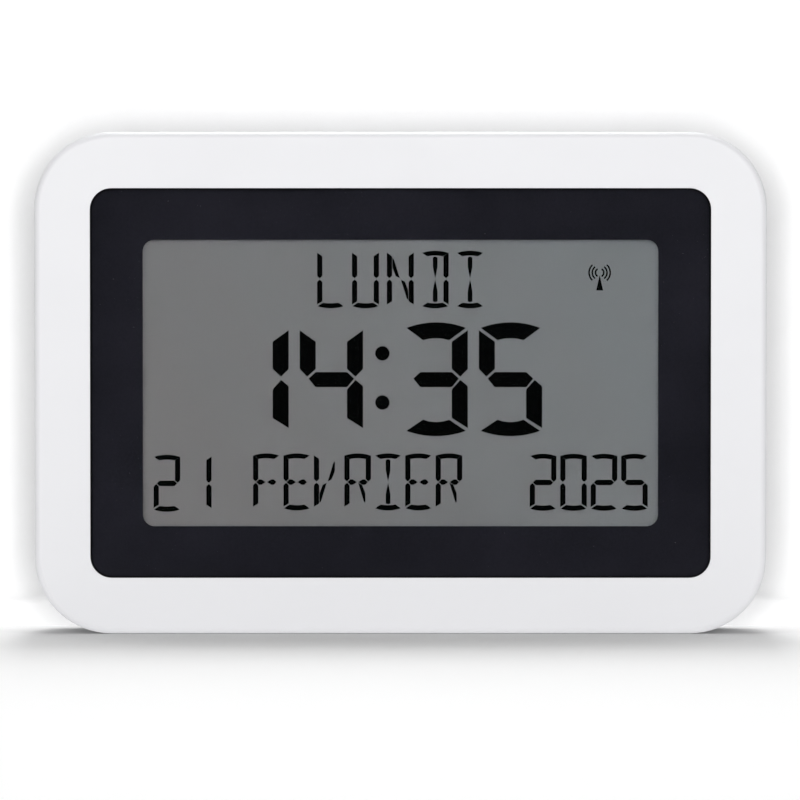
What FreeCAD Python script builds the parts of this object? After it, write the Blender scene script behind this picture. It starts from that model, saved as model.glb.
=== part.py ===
"""Radio-controlled LCD day clock: a white two-part case, a black-bordered window over a large reflective
liquid-crystal readout, and behind it the boards, aerial, cells, keys, battery door and fold-out stand leg.

Millimetres. X runs to the right as the reader sees the clock, Y from the reader towards the back, Z up.
The origin is on the table under the middle of the case. The front face looks along -Y.
"""

import FreeCAD
import Part
import math
import os
from types import SimpleNamespace

V = FreeCAD.Vector

# Case
case_width = 230.0
case_height = 157.5
case_depth = 28.0
case_corner_radius = 24.0
bezel_depth = 12.0
case_wall = 2.2
front_plate = 3.2
rear_plate = 2.0
front_edge_radius = 2.0
rear_edge_radius = 5.0
lip_height = 1.5
lip_thickness = 1.0
lip_gap = 0.1
seam_chamfer = 0.5
root_depth = 0.5
skin_margin = 0.2
label_width = 52.0
label_height = 26.0
label_side_inset = 49.0
label_rise = 21.25
label_depth = 0.3
label_corner_radius = 1.5

# Window
border_width = 17.6
window_recess_radius = 6.7
window_recess_chamfer = 0.1
lens_gap = 0.4
lens_thickness = 1.5
lens_set_back = 0.25
lens_chamfer = 0.1
print_inset = 0.1
print_thickness = 0.1
tape_thickness = 0.15
tape_inset = 0.5
tape_width = 5.4
view_side_border = 16.55
view_top_border = 16.25
view_radius = 3.7

# Liquid-crystal panel
panel_side_margin = 4.1
panel_top_margin = 2.8
contact_ledge = 5.4
glass_thickness = 0.7
cell_gap = 0.1
polarizer_thickness = 0.2
reflector_thickness = 0.25
film_inset = 1.5
seal_width = 0.9
seal_inset = 0.3
panel_opening_gap = 1.0
panel_to_print = 0.15
panel_pocket_gap = 0.3

# Panel frame
frame_rail = 6.3
frame_side_rail = 7.7
frame_depth = 3.9
frame_shelf = 1.2
frame_ear_root = 1.0
frame_ear_width = 11.0
frame_ear_height = 9.0
frame_ear_thickness = 1.9
frame_corner_radius = 3.0

# Rubber contact strip
strip_length = 150.0
strip_thickness = 2.4
strip_gap = 0.1

# Boards
board_thickness = 1.2
board_height = 70.0
board_edge = 1.0
key_board_width = 16.0
key_board_margin = 1.5
receiver_width = 24.0
receiver_height = 12.0
receiver_thickness = 1.0
receiver_shift = 8.0
receiver_post_inset = 5.0
receiver_post_radius = 2.0
peg_radius = 0.8
peg_height = 0.6

# Screws: head radius, head height, shank radius, shank length
case_screw = (2.8, 2.2, 1.45, 10.0)
ear_screw = (1.9, 1.4, 1.0, 5.2)
board_screw = (1.8, 1.3, 1.0, 4.2)
thread_gap = 0.05
clearance_gap = 0.2
boss_wall = 2.0
head_wall = 1.8
screw_floor = 2.5
pilot_room = 1.0
ear_pilot_room = 0.3
case_screw_edge = 15.0
lower_screw_x = 40.0
lower_screw_z = 9.5

# Cells and their bay
cell_radius = 7.15
cell_length = 49.3
cell_edge_radius = 0.6
nub_radius = 2.7
nub_length = 1.2
cell_pitch = 14.8
leg_bay_room = 12.0
bay_centre_z = 46.0
bay_wall = 1.5
bay_side_gap = 0.55
cell_floor_gap = 0.2
cell_door_gap = 0.45
cradle_rib = 1.6
cradle_share = 0.56
cradle_drop = 3.5
contact_thickness = 0.4
contact_height = 12.0
contact_edge = 1.0
contact_split = 1.6
dimple_height = 0.6
dimple_radius = 2.4
tail_width = 3.0
tail_reach = 1.5
tail_gap = 0.1
tail_height = 4.0
spring_length = 7.1
spring_wire = 0.8
spring_base_radius = 4.8
spring_tip_radius = 2.8
spring_turns = 4
spring_rest_gap = 0.05

# Battery door
door_ledge = 1.2
door_gap = 0.25
door_rest_gap = 0.05
door_set_back = 0.15
door_corner_radius = 2.0
hook_width = 8.0
hook_spacing = 36.0
hook_reach = 2.2
hook_thickness = 1.6
hook_depth = 2.4
hook_inset = 1.0
hook_room = 1.0
hook_side_room = 0.4
hook_gap = 0.2
latch_width = 15.0
latch_drop = 4.8
latch_depth = 5.2
latch_wall = 1.0
latch_loop = 2.6
latch_room = 1.0
thumb_thickness = 1.2
grip_width = 0.9
grip_depth = 0.4
grip_pitch = 1.8
grip_count = 4
grip_margin = 5.0
thumb_scoop_radius = 11.0
thumb_scoop_depth = 1.2

# Stand leg
leg_top_width = 44.0
leg_tip_width = 37.0
leg_thickness = 3.0
leg_gap = 0.4
leg_under_gap = 0.3
leg_set_back = 0.2
leg_tip_height = 4.0
leg_hinge_height = 92.0
leg_tip_radius = 6.0
hinge_radius = 2.5
hinge_pin_radius = 1.5
hinge_pin_length = 2.7
hinge_pin_gap = 0.06
hinge_end_gap = 0.4
barrel_inset = 0.5
hinge_gap = 0.4
stop_reach = 3.8
stop_width = 12.0
stop_inner = 1.3
stop_outer = 0.5
tub_wall = 3.6
tub_floor = 1.8
finger_width = 18.0
finger_height = 14.0
finger_depth = 5.0
leg_pocket_depth = 1.3
leg_rib = 2.4
leg_pocket_rows = 3
leg_tip_margin = 10.0
leg_hinge_margin = 6.0
leg_grip_width = 18.0
leg_grip_count = 3
leg_grip_pitch = 2.4
leg_grip_line = 1.1
leg_grip_depth = 0.5
leg_grip_margin = 7.0

# Keys
key_names = ("set", "up", "down", "language", "alarm", "signal")
key_column_inset = 19.0
key_column_rise = 36.25
key_pitch = 13.0
key_width = 9.0
key_height = 6.0
key_flange = 1.2
key_flange_thickness = 1.0
key_gap = 0.25
key_rest_gap = 0.1
key_stand_out = 0.8
key_travel = 0.5
key_dish_depth = 1.0
key_dish_margin = 3.5
key_plate = 1.8
key_edge_radius = 0.4
key_end_flat = 0.02
key_wall = 1.5
switch_side = 6.0
switch_height = 3.5
plunger_radius = 1.7
plunger_gap = 0.1
plunger_above = 1.0
plunger_sunk = 2.3
plunger_end_room = 0.1

# Keyhole for a wall screw
keyhole_top_margin = 35.5
keyhole_radius = 4.5
keyhole_slot = 4.4
keyhole_rise = 9.0
pocket_width = 16.0
pocket_depth = 5.5
pocket_margin = 2.5

# Sounder
sounder_side_inset = 59.0
sounder_top_margin = 38.5
sounder_radius = 10.0
sounder_thickness = 0.5
sounder_chamber = 1.5
sounder_ring = 1.4
sounder_ledge = 1.3
sounder_hold = 1.2
brass_thickness = 0.3
ceramic_share = 0.7
sound_hole_radius = 0.8
sound_hole_pitch = 4.0
sound_hole_count = 6

# Aerial
rod_radius = 4.0
rod_length = 60.0
rod_y = 1.0
rod_top_margin = 10.5
aerial_side_inset = 115.0
coil_radius = 5.6
coil_length = 16.0
coil_shift = 8.0
coil_groove = 0.3
coil_groove_width = 0.4
coil_bands = 8
cradle_thickness = 2.0
cradle_spacing = 42.0
cradle_gap = 0.1
cradle_reach = 1.0
cradle_wall = 2.0

# Loose parts of the main board
blob_radius = 7.0
blob_height = 1.6
blob_margin = 1.0
blob_x = -58.0
chip_row = 38.0
crystal_length = 8.0
crystal_x = -40.0
crystal_radius = 1.5
capacitor_radius = 2.5
capacitor_height = 7.0
capacitor_inset = 12.95
capacitor_pitch = 8.0
capacitor_count = 2
capacitor_row = 20.0
wire_radius = 0.6
ribbon_width = 8.0
ribbon_thickness = 0.8
wire_bend = 3.0
lead_reach = 5.0
lead_run = 12.0
lead_rise = 4.0
lead_board_margin = 10.0
ribbon_board_margin = 6.0
ribbon_run = 8.0
sounder_lead_x = 6.0
sounder_lead_spread = 3.0
aerial_lead_spread = 1.5
aerial_lead_gap = 0.2

# Readout, laid out in its own rows and then fitted to the view
weekday_text = "LUNDI"
month_text = "FEVRIER"
hour_digits = ("one", "four")
minute_digits = ("three", "five")
day_digits = ("two", "one")
year_digits = ("two", "zero", "two", "five")
word_width = 8.49
word_height = 18.12
word_pitch = 10.95
date_letter_width = 8.38
date_height = 18.0
day_pitch = 9.85
month_pitch = 9.57
year_pitch = 9.58
digit_width = 19.9
digit_height = 35.8
digit_pitch = 23.37
digit_sink = 0.42
year_sink = 0.12
readout_top_margin = 3.33
weekday_time_gap = 4.37
time_date_gap = 5.39
readout_low_margin = 4.79
readout_side_margin = 3.2
day_month_gap = 13.04
month_year_gap = 21.22
readout_end_margin = 3.09
weekday_shift = -26.2
hour_shift = -55.05
minute_shift = 1.25
colon_x = -5.7
colon_high = 26.05
colon_low = 10.6
colon_radius = 2.27
mast_x = 62.55
mast_rise = 45.8
mast_height = 4.8
mast_half = 1.1
wave_lift = 5.6
wave_radii = (1.31, 2.32, 3.32)
wave_spans = (62.0, 52.0, 47.0)
wave_line = 0.5

# Places worked out from the sizes above
front_y = -case_depth / 2
back_y = case_depth / 2
seam_y = front_y + bezel_depth
plate_back_y = front_y + front_plate
rear_inner_y = back_y - rear_plate
mid_z = case_height / 2
recess_width = case_width - 2 * border_width
recess_height = case_height - 2 * border_width
view_width = recess_width - 2 * view_side_border
view_height = recess_height - 2 * view_top_border
lens_width = recess_width - 2 * lens_gap
lens_height = recess_height - 2 * lens_gap
lens_radius = window_recess_radius - lens_gap
lens_front_y = front_y + lens_set_back
lens_back_y = lens_front_y + lens_thickness
print_back_y = lens_back_y + print_thickness
recess_floor_y = print_back_y + tape_thickness
polarizer_y = print_back_y + panel_to_print
front_glass_y = polarizer_y + polarizer_thickness
cell_y = front_glass_y + glass_thickness
rear_glass_y = cell_y + cell_gap
reflector_y = rear_glass_y + glass_thickness
panel_half_width = view_width / 2 + panel_side_margin
panel_top_z = mid_z + view_height / 2 + panel_top_margin
rear_glass_low_z = mid_z - view_height / 2 - panel_top_margin
panel_low_z = rear_glass_low_z - contact_ledge
frame_half_width = panel_half_width + panel_pocket_gap + frame_side_rail
frame_low_z = panel_low_z - panel_pocket_gap - frame_rail
frame_top_z = panel_top_z + panel_pocket_gap + frame_rail
frame_back_y = plate_back_y + frame_depth
ear_front_y = frame_back_y - frame_ear_thickness
ear_x = frame_half_width + frame_ear_width - frame_ear_height / 2
ear_heights = (frame_low_z + frame_ear_height / 2, mid_z, frame_top_z - frame_ear_height / 2)
board_back_y = frame_back_y + board_thickness
board_low_z = frame_low_z + board_edge
board_top_z = board_low_z + board_height
board_screw_x = panel_half_width + panel_pocket_gap + frame_side_rail / 2
board_screw_low_z = frame_low_z + frame_rail / 2
strip_z = panel_low_z + contact_ledge / 2

door_inner_y = rear_inner_y + door_rest_gap
door_outer_y = back_y - door_set_back
cell_mid_y = door_inner_y - cell_door_gap - cell_radius
bay_floor_y = cell_mid_y - cell_radius - cell_floor_gap
bay_half_length = (2 * contact_thickness + spring_length + cell_length + nub_length + dimple_height) / 2
bay_half_height = cell_pitch / 2 + cell_radius + bay_side_gap
bay_centre_x = leg_top_width / 2 + leg_bay_room + bay_half_length
bay_low_x = bay_centre_x - bay_half_length
bay_high_x = bay_centre_x + bay_half_length
bay_low_z = bay_centre_z - bay_half_height
bay_high_z = bay_centre_z + bay_half_height
rim_low_z = bay_low_z - door_ledge
rim_high_z = bay_high_z + door_ledge
latch_low_z = rim_low_z - latch_drop

leg_outer_y = back_y - leg_set_back
leg_inner_y = leg_outer_y - leg_thickness
leg_floor_y = leg_inner_y - leg_under_gap
hinge_y = leg_outer_y - hinge_radius
trough_radius = hinge_radius + hinge_gap
trough_floor_y = hinge_y - trough_radius
tub_half_width = leg_top_width / 2 + leg_gap + tub_wall
finger_floor_y = leg_floor_y - finger_depth
outside_y = back_y + root_depth

key_x = -case_width / 2 + key_column_inset
key_first_z = mid_z + key_column_rise
dish_floor_y = back_y - key_dish_depth
key_top_y = dish_floor_y + key_stand_out
key_wall_y = dish_floor_y - key_plate
flange_top_y = key_wall_y - key_rest_gap
flange_low_y = flange_top_y - key_flange_thickness
switch_top_y = flange_low_y - plunger_above
key_board_back_y = switch_top_y - switch_height
key_board_y = key_board_back_y - board_thickness
key_heights = [key_first_z - i * key_pitch for i in range(len(key_names))]
key_last_z = key_heights[-1]
post_offset = switch_side / 2 + key_flange + boss_wall + board_screw[2] + clearance_gap
key_post_heights = (key_first_z + post_offset, key_last_z - post_offset)

label_x = case_width / 2 - label_side_inset
label_z = mid_z + label_rise
keyhole_z = case_height - keyhole_top_margin
sounder_x = -case_width / 2 + sounder_side_inset
sounder_z = case_height - sounder_top_margin
rod_z = case_height - rod_top_margin
rod_centre_x = -case_width / 2 + aerial_side_inset
rod_low_x = rod_centre_x - rod_length / 2
rod_high_x = rod_centre_x + rod_length / 2
coil_low_x = rod_centre_x + coil_shift - coil_length / 2
pocket_floor_y = rear_inner_y - pocket_depth
screw_places = [
    (-case_width / 2 + case_screw_edge, case_screw_edge),
    (case_width / 2 - case_screw_edge, case_screw_edge),
    (-case_width / 2 + case_screw_edge, case_height - case_screw_edge),
    (case_width / 2 - case_screw_edge, case_height - case_screw_edge),
    (-lower_screw_x, lower_screw_z),
    (lower_screw_x, lower_screw_z),
]
case_boss_radius = case_screw[2] + boss_wall
post_radius = case_screw[0] + clearance_gap + head_wall
post_floor_y = seam_y + lip_height

month_width = (len(month_text) - 1) * month_pitch + date_letter_width
day_width = (len(day_digits) - 1) * day_pitch + date_letter_width
year_width = (len(year_digits) - 1) * year_pitch + date_letter_width
layout_width = readout_side_margin + day_width + day_month_gap + month_width
layout_width += month_year_gap + year_width + readout_end_margin
rows_height = word_height + weekday_time_gap + digit_height + time_date_gap + date_height
layout_height = readout_top_margin + rows_height + readout_low_margin
date_low = -layout_height / 2 + readout_low_margin
time_low = date_low + date_height + time_date_gap
weekday_low = time_low + digit_height + weekday_time_gap
day_left = -layout_width / 2 + readout_side_margin
month_left = day_left + day_width + day_month_gap
year_left = month_left + month_width + month_year_gap
wave_level = time_low + mast_rise + wave_lift


def box(x0, x1, y0, y1, z0, z1):
    return Part.makeBox(x1 - x0, y1 - y0, z1 - z0, V(x0, y0, z0))


def rounded_outline(width, height, radius, y, cx, cz):
    """A closed wire round a rectangle with round corners, in a plane square to Y."""
    hw, hh, r = width / 2, height / 2, radius
    corners = [(1, 1), (-1, 1), (-1, -1), (1, -1)]
    edges = []
    for i, (sx, sz) in enumerate(corners):
        centre = V(cx + sx * (hw - r), y, cz + sz * (hh - r))
        along_x, along_z = V(sx * r, 0, 0), V(0, 0, sz * r)
        first, last = (along_x, along_z) if i % 2 == 0 else (along_z, along_x)
        middle = (along_x + along_z) * math.sqrt(0.5)
        edges.append(Part.Arc(centre + first, centre + middle, centre + last).toShape())
        nx, nz = corners[(i + 1) % 4]
        next_centre = V(cx + nx * (hw - r), y, cz + nz * (hh - r))
        edges.append(Part.LineSegment(centre + last, next_centre + last).toShape())
    return Part.Wire(Part.__sortEdges__(edges))


def plate(width, height, radius, y0, y1, cx=0.0, cz=mid_z):
    """A rounded rectangle from y0 back to y1."""
    face = Part.Face(rounded_outline(width, height, radius, y0, cx, cz))
    return face.extrude(V(0, y1 - y0, 0))


def rod(x, z, y0, y1, radius):
    """A round bar along Y."""
    return Part.makeCylinder(radius, y1 - y0, V(x, y0, z), V(0, 1, 0))


def axle(y, z, x0, x1, radius):
    """A round bar along X."""
    return Part.makeCylinder(radius, x1 - x0, V(x0, y, z), V(1, 0, 0))


def prism(points, y0, y1):
    """A polygon of (x, z) points from y0 back to y1."""
    wire = Part.makePolygon([V(x, y0, z) for x, z in points] + [V(points[0][0], y0, points[0][1])])
    return Part.Face(wire).extrude(V(0, y1 - y0, 0))


def joined(*shapes):
    return shapes[0].multiFuse(list(shapes[1:])).removeSplitter()


def group(shapes):
    return Part.makeCompound(list(shapes))


def fillet_where(shape, radius, wanted):
    """Rounds the edges whose bounding box satisfies wanted."""
    return shape.makeFillet(radius, [e for e in shape.Edges if wanted(e.BoundBox)])


def in_plane_y(y):
    return lambda b: abs(b.YMin - y) < 1e-6 and abs(b.YMax - y) < 1e-6


def screw(x, z, head_y, sizes, towards=-1):
    """A pan-head screw with a cross recess. Its head stands on head_y, and its shank runs along -Y or +Y."""
    head_radius, head_height, shank_radius, length = sizes
    if towards < 0:
        head = rod(x, z, head_y, head_y + head_height, head_radius)
        shank = rod(x, z, head_y - length, head_y, shank_radius)
        top_y, slot_y = head_y + head_height, head_y + head_height * 0.45
    else:
        head = rod(x, z, head_y - head_height, head_y, head_radius)
        shank = rod(x, z, head_y, head_y + length, shank_radius)
        top_y, slot_y = head_y - head_height, head_y - head_height * 0.45
    low_y, high_y = min(top_y, slot_y), max(top_y, slot_y)
    arm, half = head_radius * 0.62, head_radius * 0.13
    cross = box(x - arm, x + arm, low_y, high_y, z - half, z + half)
    cross = cross.fuse(box(x - half, x + half, low_y, high_y, z - arm, z + arm))
    return head.fuse(shank).cut(cross).removeSplitter()


# Case front


def on_window_rim(edge):
    centre, slack = edge.CenterOfMass, lens_gap / 2
    beside = abs(centre.x) < recess_width / 2 + slack and abs(centre.z - mid_z) < recess_height / 2 + slack
    return beside and in_plane_y(front_y)(edge.BoundBox)


def front_bezel():
    outer = plate(case_width, case_height, case_corner_radius, front_y, seam_y)
    outer = fillet_where(outer, front_edge_radius, in_plane_y(front_y))
    hollow = plate(
        case_width - 2 * case_wall,
        case_height - 2 * case_wall,
        case_corner_radius - case_wall,
        plate_back_y,
        seam_y,
    )
    lip_room = plate(
        case_width - 2 * (case_wall - lip_thickness - lip_gap),
        case_height - 2 * (case_wall - lip_thickness - lip_gap),
        case_corner_radius - (case_wall - lip_thickness - lip_gap),
        seam_y - lip_height - lip_gap,
        seam_y,
    )
    recess = plate(recess_width, recess_height, window_recess_radius, front_y, recess_floor_y)
    opening = box(
        -panel_half_width - panel_opening_gap,
        panel_half_width + panel_opening_gap,
        recess_floor_y,
        plate_back_y,
        panel_low_z - panel_opening_gap,
        panel_top_z + panel_opening_gap,
    )
    shell = outer.cut(hollow).cut(lip_room).cut(recess).cut(opening)
    shell = shell.makeChamfer(window_recess_chamfer, [e for e in shell.Edges if on_window_rim(e)])
    root_y = plate_back_y - root_depth
    bosses = [rod(x, z, root_y, post_floor_y, case_boss_radius) for x, z in screw_places]
    ear_boss = ear_screw[2] + boss_wall
    for side in (-1, 1):
        bosses += [rod(side * ear_x, z, root_y, ear_front_y, ear_boss) for z in ear_heights]
    shell = joined(shell, *bosses)
    _, _, shank_radius, length = case_screw
    thread_low_y = post_floor_y + screw_floor - length - pilot_room
    pilots = [rod(x, z, thread_low_y, post_floor_y, shank_radius + thread_gap) for x, z in screw_places]
    thread_low_y = frame_back_y - ear_screw[3] - ear_pilot_room
    for side in (-1, 1):
        for z in ear_heights:
            pilots.append(rod(side * ear_x, z, thread_low_y, ear_front_y, ear_screw[2] + thread_gap))
    return shell.cut(group(pilots))


# Window and liquid-crystal panel


def display_lens():
    lens = plate(lens_width, lens_height, lens_radius, lens_front_y, lens_back_y)
    return lens.makeChamfer(lens_chamfer, [e for e in lens.Edges if in_plane_y(lens_front_y)(e.BoundBox)])


def lens_border_print():
    outer = plate(
        lens_width - 2 * print_inset,
        lens_height - 2 * print_inset,
        lens_radius - print_inset,
        lens_back_y,
        print_back_y,
    )
    return outer.cut(plate(view_width, view_height, view_radius, lens_back_y, print_back_y))


def lens_tape():
    outer = plate(
        lens_width - 2 * tape_inset,
        lens_height - 2 * tape_inset,
        lens_radius - tape_inset,
        print_back_y,
        recess_floor_y,
    )
    edge = tape_inset + tape_width
    half_width, half_height = lens_width / 2 - edge, lens_height / 2 - edge
    low_z, high_z = mid_z - half_height, mid_z + half_height
    inner = box(-half_width, half_width, print_back_y, recess_floor_y, low_z, high_z)
    return outer.cut(inner)


def panel_sheet(y, thickness, inset=0.0, low_z=None):
    low = rear_glass_low_z if low_z is None else low_z
    return box(
        -panel_half_width + inset,
        panel_half_width - inset,
        y,
        y + thickness,
        low + inset,
        panel_top_z - inset,
    )


def lcd_front_glass():
    return panel_sheet(front_glass_y, glass_thickness, low_z=panel_low_z)


def lcd_rear_glass():
    return panel_sheet(rear_glass_y, glass_thickness)


def lcd_front_polarizer():
    return panel_sheet(polarizer_y, polarizer_thickness, film_inset)


def lcd_reflector():
    return panel_sheet(reflector_y, reflector_thickness, film_inset)


def lcd_cell_seal():
    ring = panel_sheet(cell_y, cell_gap, seal_inset)
    return ring.cut(panel_sheet(cell_y, cell_gap, seal_inset + seal_width))


# Readout segments. A character cell is measured from its lower left corner, in (u, v).


big_style = SimpleNamespace(
    width=digit_width,
    height=digit_height,
    bar=5.04,
    tip_inset=0.6,
    corner_inset=5.87,
    cap_tip=34.05,
    cap_corner=30.15,
    cap_hollow=30.8,
    base_tip=1.68,
    base_corner=5.23,
    base_hollow=4.45,
    upper_top=33.32,
    upper_inner_top=29.71,
    upper_shoulder=21.15,
    upper_point=18.72,
    point_inset=2.38,
    lower_point=17.72,
    lower_shoulder=15.77,
    lower_inner_shoulder=14.7,
    lower_inner_end=5.7,
    lower_end=2.56,
    middle_level=18.12,
    middle_tip=2.79,
    middle_flat=4.96,
    middle_rise=2.04,
    middle_fall=2.69,
)


def slim_style(width, height, waist, cap_thickness, base_thickness):
    """The sizes of a row of slim letters, whose centre bar may be split and which have diagonals."""
    bar, point_gap = 1.66, 0.17
    return SimpleNamespace(
        width=width,
        height=height,
        bar=bar,
        tip_inset=0.16,
        corner_inset=1.84,
        cap_tip=height - 0.7,
        cap_corner=height - cap_thickness - 0.3,
        cap_hollow=height - cap_thickness,
        base_tip=0.7,
        base_corner=base_thickness + 0.22,
        base_hollow=base_thickness,
        upper_top=height - 0.6,
        upper_inner_top=height - 1.75,
        upper_shoulder=waist + point_gap + bar / 2,
        upper_point=waist + point_gap,
        point_inset=bar / 2,
        lower_point=waist - point_gap,
        lower_shoulder=waist - point_gap - bar / 2,
        lower_inner_shoulder=waist - point_gap - bar / 2,
        lower_inner_end=2.25,
        lower_end=1.21,
        middle_level=waist,
        middle_tip=0.97,
        middle_flat=1.87,
        middle_rise=0.86,
        middle_fall=0.86,
        half_bar_end=width / 2 - 0.2,
        half_bar_taper=1.35,
        stem_half=0.74,
        stem_top=height - 1.84,
        stem_low=1.98,
        stem_taper=3.6,
        stem_gap=0.2,
        diagonal_inner=width / 2 - 0.17,
        diagonal_outer=1.86,
        diagonal_end=6.35,
        diagonal_tip=0.25,
    )


word_style = slim_style(word_width, word_height, 9.27, 1.5, 1.6)
date_style = slim_style(date_letter_width, date_height, 8.95, 1.53, 1.66)

seven_segments = {
    "zero": "abcdef",
    "one": "bc",
    "two": "abdeg",
    "three": "abcdg",
    "four": "bcfg",
    "five": "acdfg",
    "six": "acdefg",
    "seven": "abc",
    "eight": "abcdefg",
    "nine": "abcdfg",
}
letter_segments = {
    "D": "abcdil",
    "E": "adefpq",
    "F": "aefpq",
    "I": "adil",
    "L": "def",
    "N": "bcefhm",
    "R": "abefpqm",
    "U": "bcdef",
    "V": "efjk",
}


def crowned_bar(s, edge, tip, corner, hollow):
    """A bar at the top or the foot of a cell, curved along its outside and along its inside."""
    middle, inset, reach = s.width / 2, s.tip_inset, s.corner_inset
    return [
        ("arc", (inset, tip), (middle, edge), (s.width - inset, tip)),
        ("line", (s.width - inset, tip), (s.width - reach, corner)),
        ("arc", (s.width - reach, corner), (middle, hollow), (reach, corner)),
        ("line", (reach, corner), (inset, tip)),
    ]


def upper_bar(s):
    return [
        (0, s.upper_top),
        (s.bar, s.upper_inner_top),
        (s.bar, s.upper_shoulder),
        (s.point_inset, s.upper_point),
        (0, s.upper_shoulder),
    ]


def lower_bar(s):
    return [
        (0, s.lower_end),
        (s.bar, s.lower_inner_end),
        (s.bar, s.lower_inner_shoulder),
        (s.point_inset, s.lower_point),
        (0, s.lower_shoulder),
    ]


def middle_bar(s):
    v, rise, fall = s.middle_level, s.middle_rise, s.middle_fall
    left, right = s.middle_flat, s.width - s.middle_flat
    upper = [(s.middle_tip, v), (left, v + rise), (right, v + rise)]
    lower = [(s.width - s.middle_tip, v), (right, v - fall), (left, v - fall)]
    return upper + lower


def half_middle_bar(s):
    v, rise, fall = s.middle_level, s.middle_rise, s.middle_fall
    left, right = s.middle_flat, s.half_bar_end - s.half_bar_taper
    upper = [(s.middle_tip, v), (left, v + rise), (right, v + rise)]
    lower = [(s.half_bar_end, v), (right, v - fall), (left, v - fall)]
    return upper + lower


def stem(s, end, towards_middle):
    """The middle upright of a letter, round at its outer end and pointed at the waist."""
    half, mid = s.stem_half, s.width / 2
    shoulder = end + towards_middle * half / 2
    point = s.middle_level - towards_middle * s.stem_gap
    taper = point - towards_middle * s.stem_taper
    return [
        ("arc", (mid - half, shoulder), (mid, end), (mid + half, shoulder)),
        ("line", (mid + half, shoulder), (mid + half, taper)),
        ("line", (mid + half, taper), (mid, point)),
        ("line", (mid, point), (mid - half, taper)),
        ("line", (mid - half, taper), (mid - half, shoulder)),
    ]


def diagonal(s, away):
    """A slanted band of a letter, up (1) or down (-1) from the waist towards the left side."""
    waist, outer, inner = s.middle_level, s.diagonal_outer, s.diagonal_inner
    end, tip = s.diagonal_end, s.diagonal_tip
    band = (inner - outer) * 0.56
    return [
        (inner, waist + away * tip),
        (outer + band * 0.25, waist + away * end),
        (outer - s.stem_gap / 2, waist + away * end),
        (outer - s.stem_gap / 2, waist + away * end * 0.55),
        (inner - band, waist + away * end * 0.13),
    ]


def edges_of(outline):
    """Turns plain points into line steps, and leaves an outline that is already steps."""
    if isinstance(outline[0][0], str):
        return outline
    return [("line", p, outline[(i + 1) % len(outline)]) for i, p in enumerate(outline)]


def flipped(outline, s):
    """Mirrors an outline from the left of the cell to the right."""
    return [(step[0],) + tuple((s.width - u, v) for u, v in step[1:]) for step in edges_of(outline)]


def segment_outline(s, name):
    """The outline of the named segment, as line and arc steps."""
    return {
        "a": lambda: crowned_bar(s, s.height, s.cap_tip, s.cap_corner, s.cap_hollow),
        "b": lambda: flipped(upper_bar(s), s),
        "c": lambda: flipped(lower_bar(s), s),
        "d": lambda: crowned_bar(s, 0.0, s.base_tip, s.base_corner, s.base_hollow),
        "e": lambda: edges_of(lower_bar(s)),
        "f": lambda: edges_of(upper_bar(s)),
        "g": lambda: edges_of(middle_bar(s)),
        "p": lambda: edges_of(half_middle_bar(s)),
        "q": lambda: flipped(half_middle_bar(s), s),
        "h": lambda: edges_of(diagonal(s, 1)),
        "i": lambda: stem(s, s.stem_top, -1),
        "j": lambda: flipped(diagonal(s, 1), s),
        "k": lambda: edges_of(diagonal(s, -1)),
        "l": lambda: stem(s, s.stem_low, 1),
        "m": lambda: flipped(diagonal(s, -1), s),
    }[name]()


def on_glass(x, v):
    """A point of the layout, measured from its middle, fitted to the view."""
    return V(x * view_width / layout_width, cell_y, mid_z + v * view_height / layout_height)


def lit_shape(outline, left, low):
    """A lit segment as a thin solid that fills the gap between the two glasses."""
    edges = []
    for step in outline:
        points = [on_glass(left + u, low + v) for u, v in step[1:]]
        if step[0] == "arc":
            edges.append(Part.Arc(*points).toShape())
        else:
            edges.append(Part.LineSegment(*points).toShape())
    return Part.Face(Part.Wire(edges)).extrude(V(0, cell_gap, 0))


def lit_row(characters, s, left, low, pitch, table):
    shapes = []
    for i, character in enumerate(characters):
        for name in table[character]:
            shapes.append(lit_shape(segment_outline(s, name), left + i * pitch, low))
    return shapes


def weekday_segments():
    return group(lit_row(weekday_text, word_style, weekday_shift, weekday_low, word_pitch, letter_segments))


def lit_disc(x, v, radius):
    left, right = (x - radius, v), (x + radius, v)
    outline = [("arc", left, (x, v + radius), right), ("arc", right, (x, v - radius), left)]
    return lit_shape(outline, 0, 0)


def time_segments():
    shapes = lit_row(hour_digits, big_style, hour_shift, time_low, digit_pitch, seven_segments)
    shapes += lit_row(minute_digits, big_style, minute_shift, time_low, digit_pitch, seven_segments)
    shapes += [lit_disc(colon_x, time_low + rise, colon_radius) for rise in (colon_low, colon_high)]
    return group(shapes)


def date_segments():
    shapes = lit_row(day_digits, date_style, day_left, date_low - digit_sink, day_pitch, seven_segments)
    shapes += lit_row(month_text, date_style, month_left, date_low, month_pitch, letter_segments)
    shapes += lit_row(year_digits, date_style, year_left, date_low - year_sink, year_pitch, seven_segments)
    return group(shapes)


def wave_mark(radius, span_deg, side):
    """One curved bar of the radio mark."""
    outer, inner = radius + wave_line / 2, radius - wave_line / 2
    span = math.radians(span_deg)

    def at(r, angle):
        return (mast_x + side * r * math.cos(angle), wave_level + r * math.sin(angle))

    outline = [
        ("arc", at(outer, span), at(outer, 0), at(outer, -span)),
        ("line", at(outer, -span), at(inner, -span)),
        ("arc", at(inner, -span), at(inner, 0), at(inner, span)),
        ("line", at(inner, span), at(outer, span)),
    ]
    return lit_shape(outline, 0, 0)


def signal_segments():
    low = time_low + mast_rise
    mast = [(mast_x, low + mast_height), (mast_x + mast_half, low), (mast_x - mast_half, low)]
    shapes = [lit_shape(edges_of(mast), 0, 0)]
    for radius, span in zip(wave_radii, wave_spans):
        shapes += [wave_mark(radius, span, side) for side in (-1, 1)]
    return group(shapes)


# Panel frame, contact strip and boards


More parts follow.
